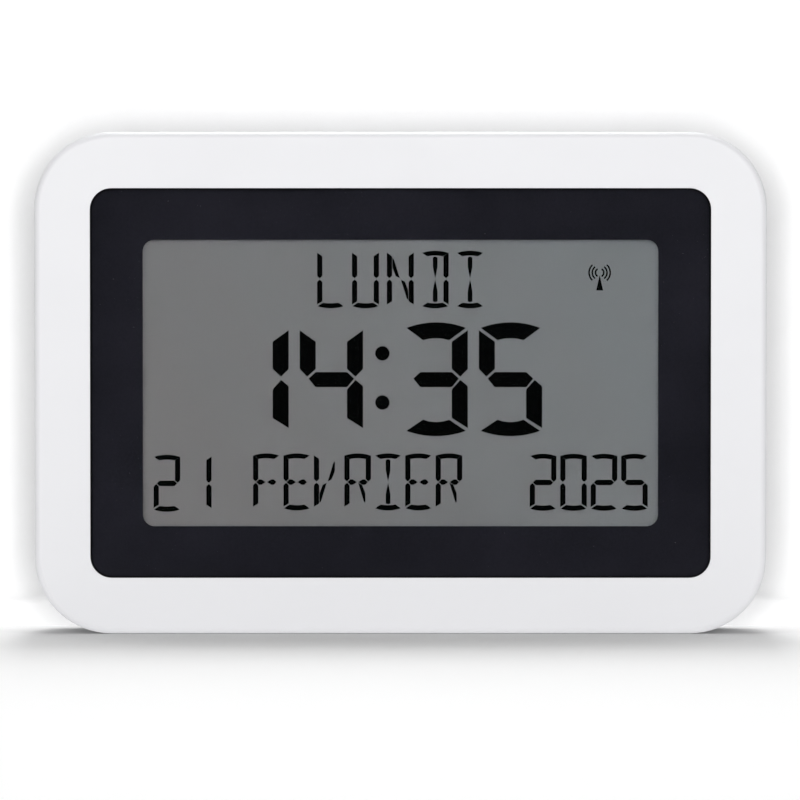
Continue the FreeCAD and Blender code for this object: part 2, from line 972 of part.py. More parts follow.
def lcd_frame():
    height = frame_top_z - frame_low_z
    centre_z = (frame_top_z + frame_low_z) / 2
    body = plate(2 * frame_half_width, height, frame_corner_radius, plate_back_y, frame_back_y, cz=centre_z)
    ears = []
    for side in (-1, 1):
        for z in ear_heights:
            tip = side * (frame_half_width + frame_ear_width)
            root = side * (frame_half_width - frame_ear_root)
            half = frame_ear_height / 2
            ears.append(box(min(tip, root), max(tip, root), ear_front_y, frame_back_y, z - half, z + half))
    body = joined(body, *ears)
    gap, half = panel_pocket_gap, panel_half_width + panel_pocket_gap
    pocket = box(-half, half, plate_back_y, reflector_y, panel_low_z - gap, panel_top_z + gap)
    window = panel_sheet(reflector_y, frame_back_y - reflector_y, frame_shelf)
    half_strip, slot = strip_length / 2 + strip_gap, strip_thickness / 2 + strip_gap
    strip_slot = box(-half_strip, half_strip, plate_back_y, frame_back_y, strip_z - slot, strip_z + slot)
    body = body.cut(pocket).cut(window).cut(strip_slot)
    holes = []
    for side in (-1, 1):
        for z in ear_heights:
            holes.append(rod(side * ear_x, z, ear_front_y, frame_back_y, ear_screw[2] + clearance_gap))
    low_y = board_back_y - board_screw[3] - ear_pilot_room
    for x, z in board_screw_places():
        holes.append(rod(x, z, max(low_y, plate_back_y), frame_back_y, board_screw[2] + thread_gap))
    return body.cut(group(holes))


def board_screw_places():
    high_z = board_top_z - frame_rail / 2
    low = board_screw_low_z
    return [
        (-board_screw_x, low),
        (0.0, low),
        (board_screw_x, low),
        (-board_screw_x, high_z),
        (board_screw_x, high_z),
    ]


def lcd_frame_screws():
    return group(screw(side * ear_x, z, frame_back_y, ear_screw) for side in (-1, 1) for z in ear_heights)


def contact_strip():
    half = strip_thickness / 2
    return box(-strip_length / 2, strip_length / 2, cell_y, frame_back_y, strip_z - half, strip_z + half)


def main_board():
    half = frame_half_width - board_edge
    board = box(-half, half, frame_back_y, board_back_y, board_low_z, board_top_z)
    hole = board_screw[2] + clearance_gap
    return board.cut(group(rod(x, z, frame_back_y, board_back_y, hole) for x, z in board_screw_places()))


def main_board_screws():
    return group(screw(x, z, board_back_y, board_screw) for x, z in board_screw_places())


def controller_blob():
    """The round drop of resin over the bare chip."""
    sphere_radius = (blob_radius**2 + blob_height**2) / (2 * blob_height)
    centre = V(blob_x, board_back_y + blob_height - sphere_radius, board_low_z + chip_row)
    ball = Part.makeSphere(sphere_radius, centre)
    reach = blob_radius + blob_margin
    keep = box(
        centre.x - reach,
        centre.x + reach,
        board_back_y,
        board_back_y + blob_height + blob_margin,
        centre.z - reach,
        centre.z + reach,
    )
    return ball.common(keep)


def crystal():
    y, z = board_back_y + crystal_radius, board_low_z + chip_row
    return axle(y, z, crystal_x, crystal_x + crystal_length, crystal_radius)


def capacitors():
    z, top_y = board_low_z + capacitor_row, board_back_y + capacitor_height
    first_x = -frame_half_width + capacitor_inset
    places = [first_x + i * capacitor_pitch for i in range(capacitor_count)]
    return group(rod(x, z, board_back_y, top_y, capacitor_radius) for x in places)


# Keys


def key_board():
    half, margin = key_board_width / 2, boss_wall + key_board_margin
    low, high = key_post_heights[1] - margin, key_post_heights[0] + margin
    board = box(key_x - half, key_x + half, key_board_y, key_board_back_y, low, high)
    hole = board_screw[2] + clearance_gap
    return board.cut(group(rod(key_x, z, key_board_y, key_board_back_y, hole) for z in key_post_heights))


def key_board_screws():
    return group(screw(key_x, z, key_board_y, board_screw, towards=1) for z in key_post_heights)


def switch_bodies():
    half = switch_side / 2
    shapes = []
    for z in key_heights:
        body = box(key_x - half, key_x + half, key_board_back_y, switch_top_y, z - half, z + half)
        bore_y = switch_top_y - plunger_sunk - key_travel - plunger_end_room
        shapes.append(body.cut(rod(key_x, z, bore_y, switch_top_y, plunger_radius + plunger_gap)))
    return group(shapes)


def switch_plunger(z):
    return rod(key_x, z, switch_top_y - plunger_sunk, flange_low_y, plunger_radius)


def key_cap(z):
    end_radius = (key_height - key_end_flat) / 2
    cap = plate(key_width, key_height, end_radius, flange_top_y, key_top_y, key_x, z)
    cap = cap.makeFillet(key_edge_radius, [e for e in cap.Edges if in_plane_y(key_top_y)(e.BoundBox)])
    flange = plate(
        key_width + 2 * key_flange,
        key_height + 2 * key_flange,
        end_radius + key_flange,
        flange_low_y,
        flange_top_y,
        key_x,
        z,
    )
    return joined(cap, flange)


# Cells and contacts


def cell_between(x0, x1, z, nub_side):
    """A round cell lying along X with its nub at one end."""
    body = axle(cell_mid_y, z, x0, x1, cell_radius)
    body = body.makeFillet(cell_edge_radius, [e for e in body.Edges if e.Closed])
    if nub_side > 0:
        nub = axle(cell_mid_y, z, x1 - root_depth, x1 + nub_length, nub_radius)
    else:
        nub = axle(cell_mid_y, z, x0 - nub_length, x0 + root_depth, nub_radius)
    return joined(body, nub)


def upper_cell():
    low = bay_low_x + contact_thickness + spring_length
    return cell_between(low, low + cell_length, bay_centre_z + cell_pitch / 2, 1)


def lower_cell():
    high = bay_high_x - contact_thickness - spring_length
    return cell_between(high - cell_length, high, bay_centre_z - cell_pitch / 2, -1)


def contact_tail(z, gap=0.0):
    """The strip that leaves a contact through a slot in the bay's left wall, or that slot, a gap larger."""
    half_width, half_thick = tail_width / 2 + gap, contact_thickness / 2 + gap
    y = bay_floor_y + tail_height
    x0 = bay_low_x - bay_wall - tail_reach
    x1 = bay_low_x + contact_thickness / 2
    return box(x0, x1, y - half_width, y + half_width, z - half_thick, z + half_thick)


def contact_plate(wall_x, side, z0, z1, dimple_z=None):
    """A springy plate against an end wall. side is the way that it faces, along X."""
    half = contact_height / 2
    face_x = wall_x + side * contact_thickness
    sheet = box(min(wall_x, face_x), max(wall_x, face_x), cell_mid_y - half, cell_mid_y + half, z0, z1)
    if dimple_z is None:
        return sheet
    tip_x = face_x + side * dimple_height
    start = V(face_x, cell_mid_y, dimple_z)
    dimple = Part.makeCone(dimple_radius, dimple_radius * 0.7, abs(tip_x - face_x), start, V(side, 0, 0))
    return joined(sheet, dimple)


def bridge_contact():
    z0, z1 = bay_low_z + contact_edge, bay_high_z - contact_edge
    return contact_plate(bay_high_x, -1, z0, z1, dimple_z=bay_centre_z + cell_pitch / 2)


def positive_contact():
    z = bay_centre_z - cell_pitch / 2
    z0, z1 = bay_low_z + contact_edge, bay_centre_z - contact_split / 2
    plate_shape = contact_plate(bay_low_x, 1, z0, z1, dimple_z=z)
    return joined(plate_shape, contact_tail(z))


def negative_contact():
    z0, z1 = bay_centre_z + contact_split / 2, bay_high_z - contact_edge
    plate_shape = contact_plate(bay_low_x, 1, z0, z1)
    return joined(plate_shape, contact_tail(bay_centre_z + cell_pitch / 2))


def biarc(p0, t0, p1, t1):
    """Two arcs that leave p0 along t0, meet smoothly and reach p1 along t1."""
    chord, tangents = p1 - p0, t0 + t1
    lead = chord.dot(tangents)
    spread = 2 * (1 - t0.dot(t1))
    reach = (math.sqrt(lead**2 + spread * chord.dot(chord)) - lead) / spread
    joint = (p0 + p1 + (t0 - t1) * reach) * 0.5
    return [arc_along(p0, t0, joint), arc_along(p1, t1 * -1, joint)]


def arc_along(start, tangent, end):
    """The arc from start, leaving along tangent, to end."""
    chord = end - start
    normal = tangent.cross(chord).cross(tangent).normalize()
    radius = chord.dot(chord) / (2 * chord.dot(normal))
    centre = start + normal * radius
    middle = ((start + end) * 0.5 - centre).normalize() * radius + centre
    return Part.Arc(start, middle, end).toShape()


def spring_path(x0, x1, z):
    """The middle line of a conical spring that narrows from x0, at its plate, to x1, at the cell."""
    direction = 1 if x1 > x0 else -1
    margin = spring_wire / 2 + spring_rest_gap
    start, length = x0 + direction * margin, abs(x1 - x0) - 2 * margin
    quarters = spring_turns * 4

    def at(i):
        share = i / quarters
        angle = share * spring_turns * 2 * math.pi
        radius = spring_base_radius + (spring_tip_radius - spring_base_radius) * share
        point = V(start + direction * length * share, radius * math.cos(angle), radius * math.sin(angle))
        return point + V(0, cell_mid_y, z), angle, radius

    def tangent(i):
        _, angle, radius = at(i)
        total = spring_turns * 2 * math.pi
        shrink = (spring_tip_radius - spring_base_radius) / total
        run = V(
            direction * length / total,
            shrink * math.cos(angle) - radius * math.sin(angle),
            shrink * math.sin(angle) + radius * math.cos(angle),
        )
        return run.normalize()

    edges = []
    for i in range(quarters):
        first, second = biarc(at(i)[0], tangent(i), at(i + 1)[0], tangent(i + 1))
        edges += [first, second]
    return Part.Wire(Part.__sortEdges__(edges)), at(0)[0], tangent(0)


def contact_spring(x0, x1, z):
    path, start, heading = spring_path(x0, x1, z)
    circle = Part.Circle(start, heading, spring_wire / 2).toShape()
    return path.makePipeShell([Part.Wire(circle)], True, False)


def spring_self_gap():
    """The least gap between two turns of a contact spring, measured on points along its middle line."""
    path, _, _ = spring_path(0.0, spring_length, 0.0)
    per_turn = 60
    points = path.discretize(Number=per_turn * spring_turns + 1)
    apart = per_turn // 2
    nearest = min((q - p).Length for i, p in enumerate(points) for q in points[i + apart :])
    return nearest - spring_wire


def negative_spring():
    x0 = bay_low_x + contact_thickness
    return contact_spring(x0, x0 + spring_length, bay_centre_z + cell_pitch / 2)


def bridge_spring():
    x0 = bay_high_x - contact_thickness
    return contact_spring(x0, x0 - spring_length, bay_centre_z - cell_pitch / 2)


# Battery door


def battery_door():
    width = bay_high_x - bay_low_x + 2 * (door_ledge - door_gap)
    height = bay_high_z - bay_low_z + 2 * (door_ledge - door_gap)
    panel = plate(width, height, door_corner_radius, door_inner_y, door_outer_y, bay_centre_x, bay_centre_z)
    pieces = [panel]
    for side in (-1, 1):
        x = bay_centre_x + side * hook_spacing / 2
        hook_high_y = rear_inner_y - hook_gap
        hook_low_y = hook_high_y - hook_thickness
        top = rim_high_z - door_gap - hook_inset
        low = top - hook_depth
        x0, x1 = x - hook_width / 2, x + hook_width / 2
        pieces.append(box(x0, x1, hook_low_y, door_inner_y, low, top))
        pieces.append(box(x0, x1, hook_low_y, hook_high_y, low, top + hook_inset + hook_reach))
    half = latch_width / 2
    root_z = rim_low_z + door_gap
    near_z, far_z = root_z + latch_wall, root_z - latch_loop
    deep_y = door_inner_y - latch_depth + latch_loop / 2 + latch_wall / 2
    loop_mid_z = root_z + latch_wall / 2 - latch_loop / 2
    x0, x1 = bay_centre_x - half, bay_centre_x + half
    inner_leg = box(x0, x1, deep_y, door_inner_y + root_depth, root_z, near_z)
    outer_leg = box(x0, x1, deep_y, door_outer_y, far_z, far_z + latch_wall)
    ring = axle(deep_y, loop_mid_z, x0, x1, (latch_loop + latch_wall) / 2)
    ring = ring.cut(axle(deep_y, loop_mid_z, x0, x1, (latch_loop - latch_wall) / 2))
    low_z, high_z = loop_mid_z - latch_loop, loop_mid_z + latch_loop
    ring = ring.cut(box(x0, x1, deep_y, deep_y + latch_loop, low_z, high_z))
    thumb_y = door_outer_y - thumb_thickness
    thumb = box(x0, x1, thumb_y, door_outer_y, latch_low_z + door_gap, far_z + latch_wall)
    door = joined(*pieces, inner_leg, outer_leg, ring, thumb)
    grooves = []
    for i in range(grip_count):
        z = rim_low_z + grip_margin + i * grip_pitch
        grooves.append(box(x0, x1, door_outer_y - grip_depth, door_outer_y, z, z + grip_width))
    return door.cut(group(grooves))


# Stand leg


def leg_outline(grow, low_z, high_z):
    """The leg's tapered outline, grown all round, as (x, z) points."""
    run = leg_hinge_height - leg_tip_height
    slope = (leg_top_width - leg_tip_width) / 2 / run

    def half(z):
        return leg_tip_width / 2 + slope * (z - leg_tip_height) + grow

    return [(-half(low_z), low_z), (half(low_z), low_z), (half(high_z), high_z), (-half(high_z), high_z)]


def stand_leg():
    blade = prism(leg_outline(0.0, leg_tip_height, leg_hinge_height), leg_inner_y, leg_outer_y)
    corners = [
        e
        for e in blade.Edges
        if e.BoundBox.ZMax < leg_tip_height + leg_gap and e.BoundBox.YLength > leg_thickness / 2
    ]
    blade = blade.makeFillet(leg_tip_radius, corners)
    barrel_half = leg_top_width / 2 - barrel_inset
    barrel = axle(hinge_y, leg_hinge_height, -barrel_half, barrel_half, hinge_radius)
    pin_half = barrel_half + hinge_pin_length
    pins = axle(hinge_y, leg_hinge_height, -pin_half, pin_half, hinge_pin_radius)
    stop = box(
        -stop_width / 2,
        stop_width / 2,
        hinge_y - stop_inner,
        hinge_y + stop_outer,
        leg_hinge_height,
        leg_hinge_height + stop_reach,
    )
    leg = joined(blade, barrel, pins, stop)
    pockets = []
    low, high = leg_tip_height + leg_tip_margin, leg_hinge_height - leg_hinge_margin
    step = (high - low) / leg_pocket_rows
    half = leg_tip_width / 2 - leg_rib
    for i in range(leg_pocket_rows):
        z0, z1 = low + i * step, low + (i + 1) * step - leg_rib
        pockets.append(box(-half, -leg_rib / 2, leg_inner_y, leg_inner_y + leg_pocket_depth, z0, z1))
        pockets.append(box(leg_rib / 2, half, leg_inner_y, leg_inner_y + leg_pocket_depth, z0, z1))
    grip = leg_grip_width / 2
    for i in range(leg_grip_count):
        z = leg_tip_height + leg_grip_margin + i * leg_grip_pitch
        pockets.append(box(-grip, grip, leg_outer_y - leg_grip_depth, leg_outer_y, z, z + leg_grip_line))
    return leg.cut(group(pockets))


# Rear cover


def rear_shell():
    outer = plate(case_width, case_height, case_corner_radius, seam_y, back_y)
    outer = fillet_where(outer, rear_edge_radius, in_plane_y(back_y))
    outer = outer.makeChamfer(seam_chamfer, [e for e in outer.Edges if in_plane_y(seam_y)(e.BoundBox)])
    inner_radius = case_corner_radius - case_wall
    hollow = plate(
        case_width - 2 * case_wall, case_height - 2 * case_wall, inner_radius, seam_y, rear_inner_y
    )
    hollow = fillet_where(hollow, rear_edge_radius - case_wall, in_plane_y(rear_inner_y))
    inset = case_wall - lip_thickness
    lip = plate(
        case_width - 2 * inset,
        case_height - 2 * inset,
        case_corner_radius - inset,
        seam_y - lip_height,
        seam_y + root_depth,
    )
    lip = lip.cut(
        plate(
            case_width - 2 * case_wall,
            case_height - 2 * case_wall,
            inner_radius,
            seam_y - lip_height,
            seam_y + root_depth,
        )
    )
    return joined(outer.cut(hollow), lip)


def inside_envelope():
    """The space that the cover's outer skin encloses, which trims what is added inside it."""
    width, height = case_width - 2 * skin_margin, case_height - 2 * skin_margin
    space = plate(width, height, case_corner_radius - skin_margin, plate_back_y, back_y)
    return fillet_where(space, rear_edge_radius, in_plane_y(back_y))


def cover_additions():
    """The posts, tubs and walls moulded inside the cover."""
    w = bay_wall
    root_y = rear_inner_y + root_depth
    parts = []
    parts += [rod(x, z, post_floor_y, root_y, post_radius) for x, z in screw_places]
    parts.append(
        box(bay_low_x - w, bay_high_x + w, bay_floor_y - w, root_y, bay_low_z - w, bay_high_z + w)
    )
    half = latch_width / 2 + door_gap + w
    low_y = door_inner_y - latch_depth - latch_room - w
    parts.append(
        box(bay_centre_x - half, bay_centre_x + half, low_y, root_y, latch_low_z - w, bay_low_z)
    )
    t = tub_half_width
    plain_y, hinge_floor_y = leg_floor_y - tub_floor, trough_floor_y - tub_floor
    top_z = leg_hinge_height + stop_reach + hinge_gap + tub_floor
    parts.append(box(-t, t, plain_y, root_y, root_depth, leg_hinge_height))
    low_z = leg_hinge_height - 2 * trough_radius - tub_floor
    parts.append(box(-t, t, hinge_floor_y, root_y, low_z, top_z))
    f = finger_width / 2 + tub_floor
    parts.append(box(-f, f, finger_floor_y - tub_floor, root_y, root_depth, finger_height + tub_floor))
    around = key_dish_margin + key_wall
    dish_half, dish_margin = key_width / 2 + around, key_height / 2 + around
    parts.append(
        box(
            key_x - dish_half,
            key_x + dish_half,
            key_wall_y,
            root_y,
            key_last_z - dish_margin,
            key_first_z + dish_margin,
        )
    )
    post = board_screw[2] + boss_wall
    parts += [rod(key_x, z, key_board_back_y, root_y, post) for z in key_post_heights]
    p = pocket_width / 2 + w
    top = keyhole_z + keyhole_rise + keyhole_slot / 2 + pocket_margin
    low = keyhole_z - keyhole_radius - pocket_margin
    parts.append(box(-p, p, pocket_floor_y - w, root_y, low - w, top + w))
    ring = sounder_radius + cradle_gap + sounder_ring
    ring_low_y = rear_inner_y - sounder_chamber - sounder_thickness - sounder_hold
    parts.append(rod(sounder_x, sounder_z, ring_low_y, root_y, ring))
    for x in (rod_centre_x - cradle_spacing / 2, rod_centre_x + cradle_spacing / 2):
        half, high = cradle_thickness / 2, rod_radius + cradle_wall
        parts.append(box(x - half, x + half, rod_y - cradle_reach, root_y, rod_z - high, rod_z + high))
    for x in receiver_post_places():
        post_y = receiver_y() + receiver_thickness
        parts.append(rod(x, rod_z, post_y, root_y, receiver_post_radius))
        parts.append(rod(x, rod_z, receiver_y() - peg_height, post_y + root_depth, peg_radius))
    return parts


def receiver_y():
    return rod_y + rod_radius


def receiver_left():
    return rod_low_x - receiver_shift - receiver_width


def receiver_post_places():
    return (receiver_left() + receiver_post_inset, receiver_left() + receiver_width - receiver_post_inset)


def door_cuts():
    cuts = [box(bay_low_x, bay_high_x, bay_floor_y, back_y, bay_low_z, bay_high_z)]
    rim_width = bay_high_x - bay_low_x + 2 * door_ledge
    rim_height = rim_high_z - rim_low_z
    rim_radius = door_corner_radius + door_gap
    cuts.append(
        plate(rim_width, rim_height, rim_radius, rear_inner_y, outside_y, bay_centre_x, bay_centre_z)
    )
    half = latch_width / 2 + door_gap
    x0, x1 = bay_centre_x - half, bay_centre_x + half
    latch_floor_y = door_inner_y - latch_depth - latch_room
    cuts.append(box(x0, x1, latch_floor_y, outside_y, latch_low_z, bay_low_z + door_gap))
    for side in (-1, 1):
        x = bay_centre_x + side * hook_spacing / 2
        reach = hook_width / 2 + hook_side_room
        low_y = rear_inner_y - hook_gap - hook_thickness - hook_room
        low_z, high_z = bay_high_z - door_gap, rim_high_z + hook_reach + hook_room
        cuts.append(box(x - reach, x + reach, low_y, rear_inner_y, low_z, high_z))
    for side in (-1, 1):
        cuts.append(contact_tail(bay_centre_z + side * cell_pitch / 2, tail_gap))
    scoop = Part.makeSphere(
        thumb_scoop_radius, V(bay_centre_x, back_y - thumb_scoop_depth + thumb_scoop_radius, latch_low_z)
    )
    reach, low_y = thumb_scoop_radius, back_y - thumb_scoop_depth
    below = box(
        bay_centre_x - reach, bay_centre_x + reach, low_y, outside_y, latch_low_z - reach, latch_low_z
    )
    cuts.append(scoop.common(below))
    return cuts


def leg_cuts():
    cuts = [prism(leg_outline(leg_gap, -root_depth, leg_hinge_height), leg_floor_y, outside_y)]
    half = leg_top_width / 2 + leg_gap
    cuts.append(axle(hinge_y, leg_hinge_height, -half, half, trough_radius))
    h = leg_hinge_height
    cuts.append(box(-half, half, hinge_y, outside_y, h - trough_radius, h + trough_radius))
    cuts.append(box(-half, half, trough_floor_y, hinge_y, h - trough_radius * 2, h))
    stop_half = stop_width / 2 + leg_gap
    cuts.append(box(-stop_half, stop_half, trough_floor_y, outside_y, h, h + stop_reach + hinge_gap))
    pin_half = leg_top_width / 2 - barrel_inset + hinge_pin_length + hinge_end_gap
    cuts.append(axle(hinge_y, h, -pin_half, pin_half, hinge_pin_radius + hinge_pin_gap))
    f = finger_width / 2
    cuts.append(box(-f, f, finger_floor_y, outside_y, -root_depth, finger_height))
    return cuts


def key_cuts():
    dish_height = key_first_z - key_last_z + key_height + 2 * key_dish_margin
    dish_width = key_width + 2 * key_dish_margin
    cuts = [
        plate(
            dish_width,
            dish_height,
            dish_width / 2 - 0.01,
            dish_floor_y,
            outside_y,
            key_x,
            (key_first_z + key_last_z) / 2,
        )
    ]
    for z in key_heights:
        cuts.append(
            plate(
                key_width + 2 * key_gap,
                key_height + 2 * key_gap,
                key_height / 2 + key_gap - 0.01,
                key_wall_y,
                dish_floor_y,
                key_x,
                z,
            )
        )
    depth = board_screw[3] - board_thickness + pilot_room
    for z in key_post_heights:
        cuts.append(rod(key_x, z, key_board_back_y, key_board_back_y + depth, board_screw[2] + thread_gap))
    return cuts


def keyhole_cuts():
    half = keyhole_slot / 2
    top = keyhole_z + keyhole_rise
    low = keyhole_z - keyhole_radius - pocket_margin
    high = top + half + pocket_margin
    return [
        rod(0, keyhole_z, pocket_floor_y, back_y, keyhole_radius),
        box(-half, half, pocket_floor_y, back_y, keyhole_z, top),
        rod(0, top, pocket_floor_y, back_y, half),
        box(-pocket_width / 2, pocket_width / 2, pocket_floor_y, rear_inner_y, low, high),
    ]


def sounder_cuts():
    disc_y = rear_inner_y - sounder_chamber
    low_y = disc_y - sounder_thickness - sounder_hold
    cuts = [
        rod(sounder_x, sounder_z, low_y, disc_y, sounder_radius + cradle_gap),
        rod(sounder_x, sounder_z, low_y, rear_inner_y, sounder_radius - sounder_ledge),
        rod(sounder_x, sounder_z, rear_inner_y, back_y, sound_hole_radius),
    ]
    for i in range(sound_hole_count):
        angle = 2 * math.pi * i / sound_hole_count
        x = sounder_x + sound_hole_pitch * math.cos(angle)
        z = sounder_z + sound_hole_pitch * math.sin(angle)
        cuts.append(rod(x, z, rear_inner_y, back_y, sound_hole_radius))
    return cuts


def rear_cover():
    added = joined(*cover_additions()).common(inside_envelope())
    cover = rear_shell().fuse(added)
    cuts = door_cuts() + leg_cuts() + key_cuts() + keyhole_cuts() + sounder_cuts()
    head_radius, _, shank_radius, _ = case_screw
    seat_y = post_floor_y + screw_floor
    for x, z in screw_places:
        cuts.append(rod(x, z, seat_y, back_y, head_radius + clearance_gap))
        cuts.append(rod(x, z, post_floor_y, seat_y, shank_radius + clearance_gap))
    cuts.append(axle(rod_y, rod_z, rod_low_x, rod_high_x, rod_radius + cradle_gap))
    mouth = rod_radius + cradle_gap
    low_y = rod_y - 2 * cradle_reach
    cuts.append(box(rod_low_x, rod_high_x, low_y, rod_y, rod_z - mouth, rod_z + mouth))
    label_y = back_y - label_depth
    cuts.append(plate(label_width, label_height, label_corner_radius, label_y, outside_y, label_x, label_z))
    return joined(cover.cut(group(cuts)), *cell_cradles())


def cell_cradles():
    """Two ribs on the bay's floor that the cells lie in."""
    ribs = []
    half = cradle_rib / 2
    for end in (-1, 1):
        x = bay_centre_x + end * cradle_share * bay_half_length
        low_z, high_z = bay_low_z - root_depth, bay_high_z + root_depth
        rib = box(x - half, x + half, bay_floor_y - root_depth, cell_mid_y - cradle_drop, low_z, high_z)
        for side in (-1, 1):
            z = bay_centre_z + side * cell_pitch / 2
            rib = rib.cut(axle(cell_mid_y, z, x - half, x + half, cell_radius + cradle_gap))
        ribs.append(rib)
    return ribs


def case_screws():
    return group(screw(x, z, post_floor_y + screw_floor, case_screw) for x, z in screw_places)


# Sounder, aerial and wires


def sounder_disc():
    disc_y = rear_inner_y - sounder_chamber
    brass_y = disc_y - brass_thickness
    brass = rod(sounder_x, sounder_z, brass_y, disc_y, sounder_radius)
    ceramic = rod(sounder_x, sounder_z, disc_y - sounder_thickness, brass_y, sounder_radius * ceramic_share)
    return joined(brass, ceramic)


def ferrite_rod():
    return axle(rod_y, rod_z, rod_low_x, rod_high_x, rod_radius)


def aerial_coil():
    """The winding, with a rib and a groove for each few turns."""
    x0 = coil_low_x
    body = axle(rod_y, rod_z, x0, x0 + coil_length, coil_radius)
    grooves = []
    half, step = coil_groove_width / 2, coil_length / coil_bands
    for i in range(coil_bands):
        x = x0 + (i + 0.5) * step
        ring = axle(rod_y, rod_z, x - half, x + half, coil_radius + coil_groove)
        grooves.append(ring.cut(axle(rod_y, rod_z, x - half, x + half, coil_radius - coil_groove)))
    return body.cut(group(grooves)).cut(ferrite_rod())


def receiver_board():
    x0 = receiver_left()
    y0 = receiver_y()
    half = receiver_height / 2
    y1 = y0 + receiver_thickness
    board = box(x0, x0 + receiver_width, y0, y1, rod_z - half, rod_z + half)
    return board.cut(group(rod(x, rod_z, y0, y1, peg_radius + thread_gap) for x in receiver_post_places()))


def bent_path(points, bend):
    """Straight runs joined by tangent arcs. An arc is as large as its two runs allow, up to bend."""
    edges, last = [], points[0]
    for before, corner, after in zip(points, points[1:], points[2:]):
        into, out = (corner - before).normalize(), (after - corner).normalize()
        turn = math.acos(max(-1.0, min(1.0, into.dot(out))))
        room = 0.45 * min((corner - before).Length, (after - corner).Length)
        setback = min(bend * math.tan(turn / 2), room)
        start, end = corner - into * setback, corner + out * setback
        radius = setback / math.tan(turn / 2)
        centre = start + (end - start - into * into.dot(end - start)).normalize() * radius
        middle = centre + (corner - centre).normalize() * radius
        edges.append(Part.LineSegment(last, start).toShape())
        edges.append(Part.Arc(start, middle, end).toShape())
        last = end
    edges.append(Part.LineSegment(last, points[-1]).toShape())
    return Part.Wire(edges)


def wire_along(points, radius=wire_radius):
    path = bent_path(points, wire_bend)
    start, heading = points[0], (points[1] - points[0]).normalize()
    circle = Part.Wire(Part.Circle(start, heading, radius).toShape())
    return path.makePipeShell([circle], True, False)


def ribbon_along(points, width_axis):
    """A flat cable, swept with its width along width_axis."""
    path = bent_path(points, wire_bend)
    start, heading = points[0], (points[1] - points[0]).normalize()
    across = width_axis * (ribbon_width / 2)
    up = heading.cross(width_axis).normalize() * (ribbon_thickness / 2)
    corners = [start + across + up, start - across + up, start - across - up, start + across - up]
    outline = Part.makePolygon(corners + corners[:1])
    return path.makePipeShell([outline], True, False)


def contact_lead(contact_z, board_x):
    """A lead from a cell contact's tail, out of the bay's end wall, to the main board."""
    start_x = bay_low_x - bay_wall - tail_reach
    y = bay_floor_y + tail_height
    return wire_along(
        [
            V(start_x, y, contact_z),
            V(start_x - lead_reach, y, contact_z),
            V(board_x, y, contact_z + lead_rise),
            V(board_x, board_back_y, contact_z + lead_rise),
        ]
    )


def positive_lead():
    return contact_lead(bay_centre_z - cell_pitch / 2, bay_low_x - bay_wall - lead_run)


def negative_lead():
    return contact_lead(bay_centre_z + cell_pitch / 2, bay_low_x - bay_wall - lead_run)


def key_ribbon():
    x = key_x + key_board_width / 2
    z = key_heights[-1] + key_pitch / 2
    y = (key_board_y + key_board_back_y) / 2
    foot_x = x + ribbon_run
    return ribbon_along([V(x, y, z), V(foot_x, y, z), V(foot_x, board_back_y, z)], V(0, 0, 1))


def receiver_ribbon():
    x = receiver_left() + receiver_width / 2
    y = receiver_y() + receiver_thickness / 2
    z = rod_z - receiver_height / 2
    drop_z = board_top_z - ribbon_board_margin
    return ribbon_along([V(x, y, z), V(x, y, drop_z), V(x, board_back_y, drop_z)], V(1, 0, 0))


def sounder_leads():
    disc_y = rear_inner_y - sounder_chamber - sounder_thickness
    shapes = []
    run_y, foot_z = disc_y - lead_reach, board_top_z - lead_board_margin
    for offset in (-sounder_lead_spread, sounder_lead_spread):
        x = sounder_x - sounder_lead_x + offset / 2
        z = sounder_z + offset
        foot_x = x + offset
        points = [V(x, disc_y, z), V(x, run_y, z), V(foot_x, run_y, foot_z), V(foot_x, board_back_y, foot_z)]
        shapes.append(wire_along(points))
    return group(shapes)


def aerial_leads():
    x0 = coil_low_x
    end_x = receiver_left() + receiver_width
    shapes = []
    y, deep_y = rod_y - rod_radius - wire_radius - aerial_lead_gap, receiver_y() + receiver_thickness / 2
    turn_x = (end_x + rod_low_x) / 2
    for side in (-1, 1):
        z = rod_z + side * aerial_lead_spread
        shapes.append(wire_along([V(x0, y, z), V(turn_x, y, z), V(turn_x, deep_y, z), V(end_x, deep_y, z)]))
    return group(shapes)


def build_parts():
    makers = [
        front_bezel,
        rear_cover,
        case_screws,
        battery_door,
        stand_leg,
        display_lens,
        lens_border_print,
        lens_tape,
        lcd_front_polarizer,
        lcd_front_glass,
        lcd_cell_seal,
        weekday_segments,
        time_segments,
        date_segments,
        signal_segments,
        lcd_rear_glass,
        lcd_reflector,
        lcd_frame,
        lcd_frame_screws,
        contact_strip,
        main_board,
        main_board_screws,
        controller_blob,
        crystal,
        capacitors,
        key_board,
        key_board_screws,
        key_ribbon,
        switch_bodies,
        receiver_board,
        receiver_ribbon,
        ferrite_rod,
        aerial_coil,
        aerial_leads,
        sounder_disc,
        sounder_leads,
        upper_cell,
        lower_cell,
        bridge_contact,
        bridge_spring,
        negative_contact,
        negative_spring,
        positive_contact,
        positive_lead,
        negative_lead,
    ]
    parts = {maker.__name__: maker() for maker in makers}
    for name, z in zip(key_names, key_heights):
        parts[f"{name}_key"] = key_cap(z)
        parts[f"{name}_plunger"] = switch_plunger(z)
    return parts


def main():
    os.makedirs("parts", exist_ok=True)
    for name, shape in build_parts().items():
        shape.exportStep(f"parts/{name}.step")
        print(name, "solids", len(shape.Solids), "volume", round(shape.Volume, 2), "valid", shape.isValid())
    print("least gap between spring turns", round(spring_self_gap(), 2))


main()
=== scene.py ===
"""The looks of a radio-controlled day clock: a satin white case, a clear window printed black round a grey
liquid-crystal readout, and the keys, battery door, stand leg and workings behind it.

Lengths are metres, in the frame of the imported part. X is to the reader's right, Y towards the back, Z up.
"""

import math

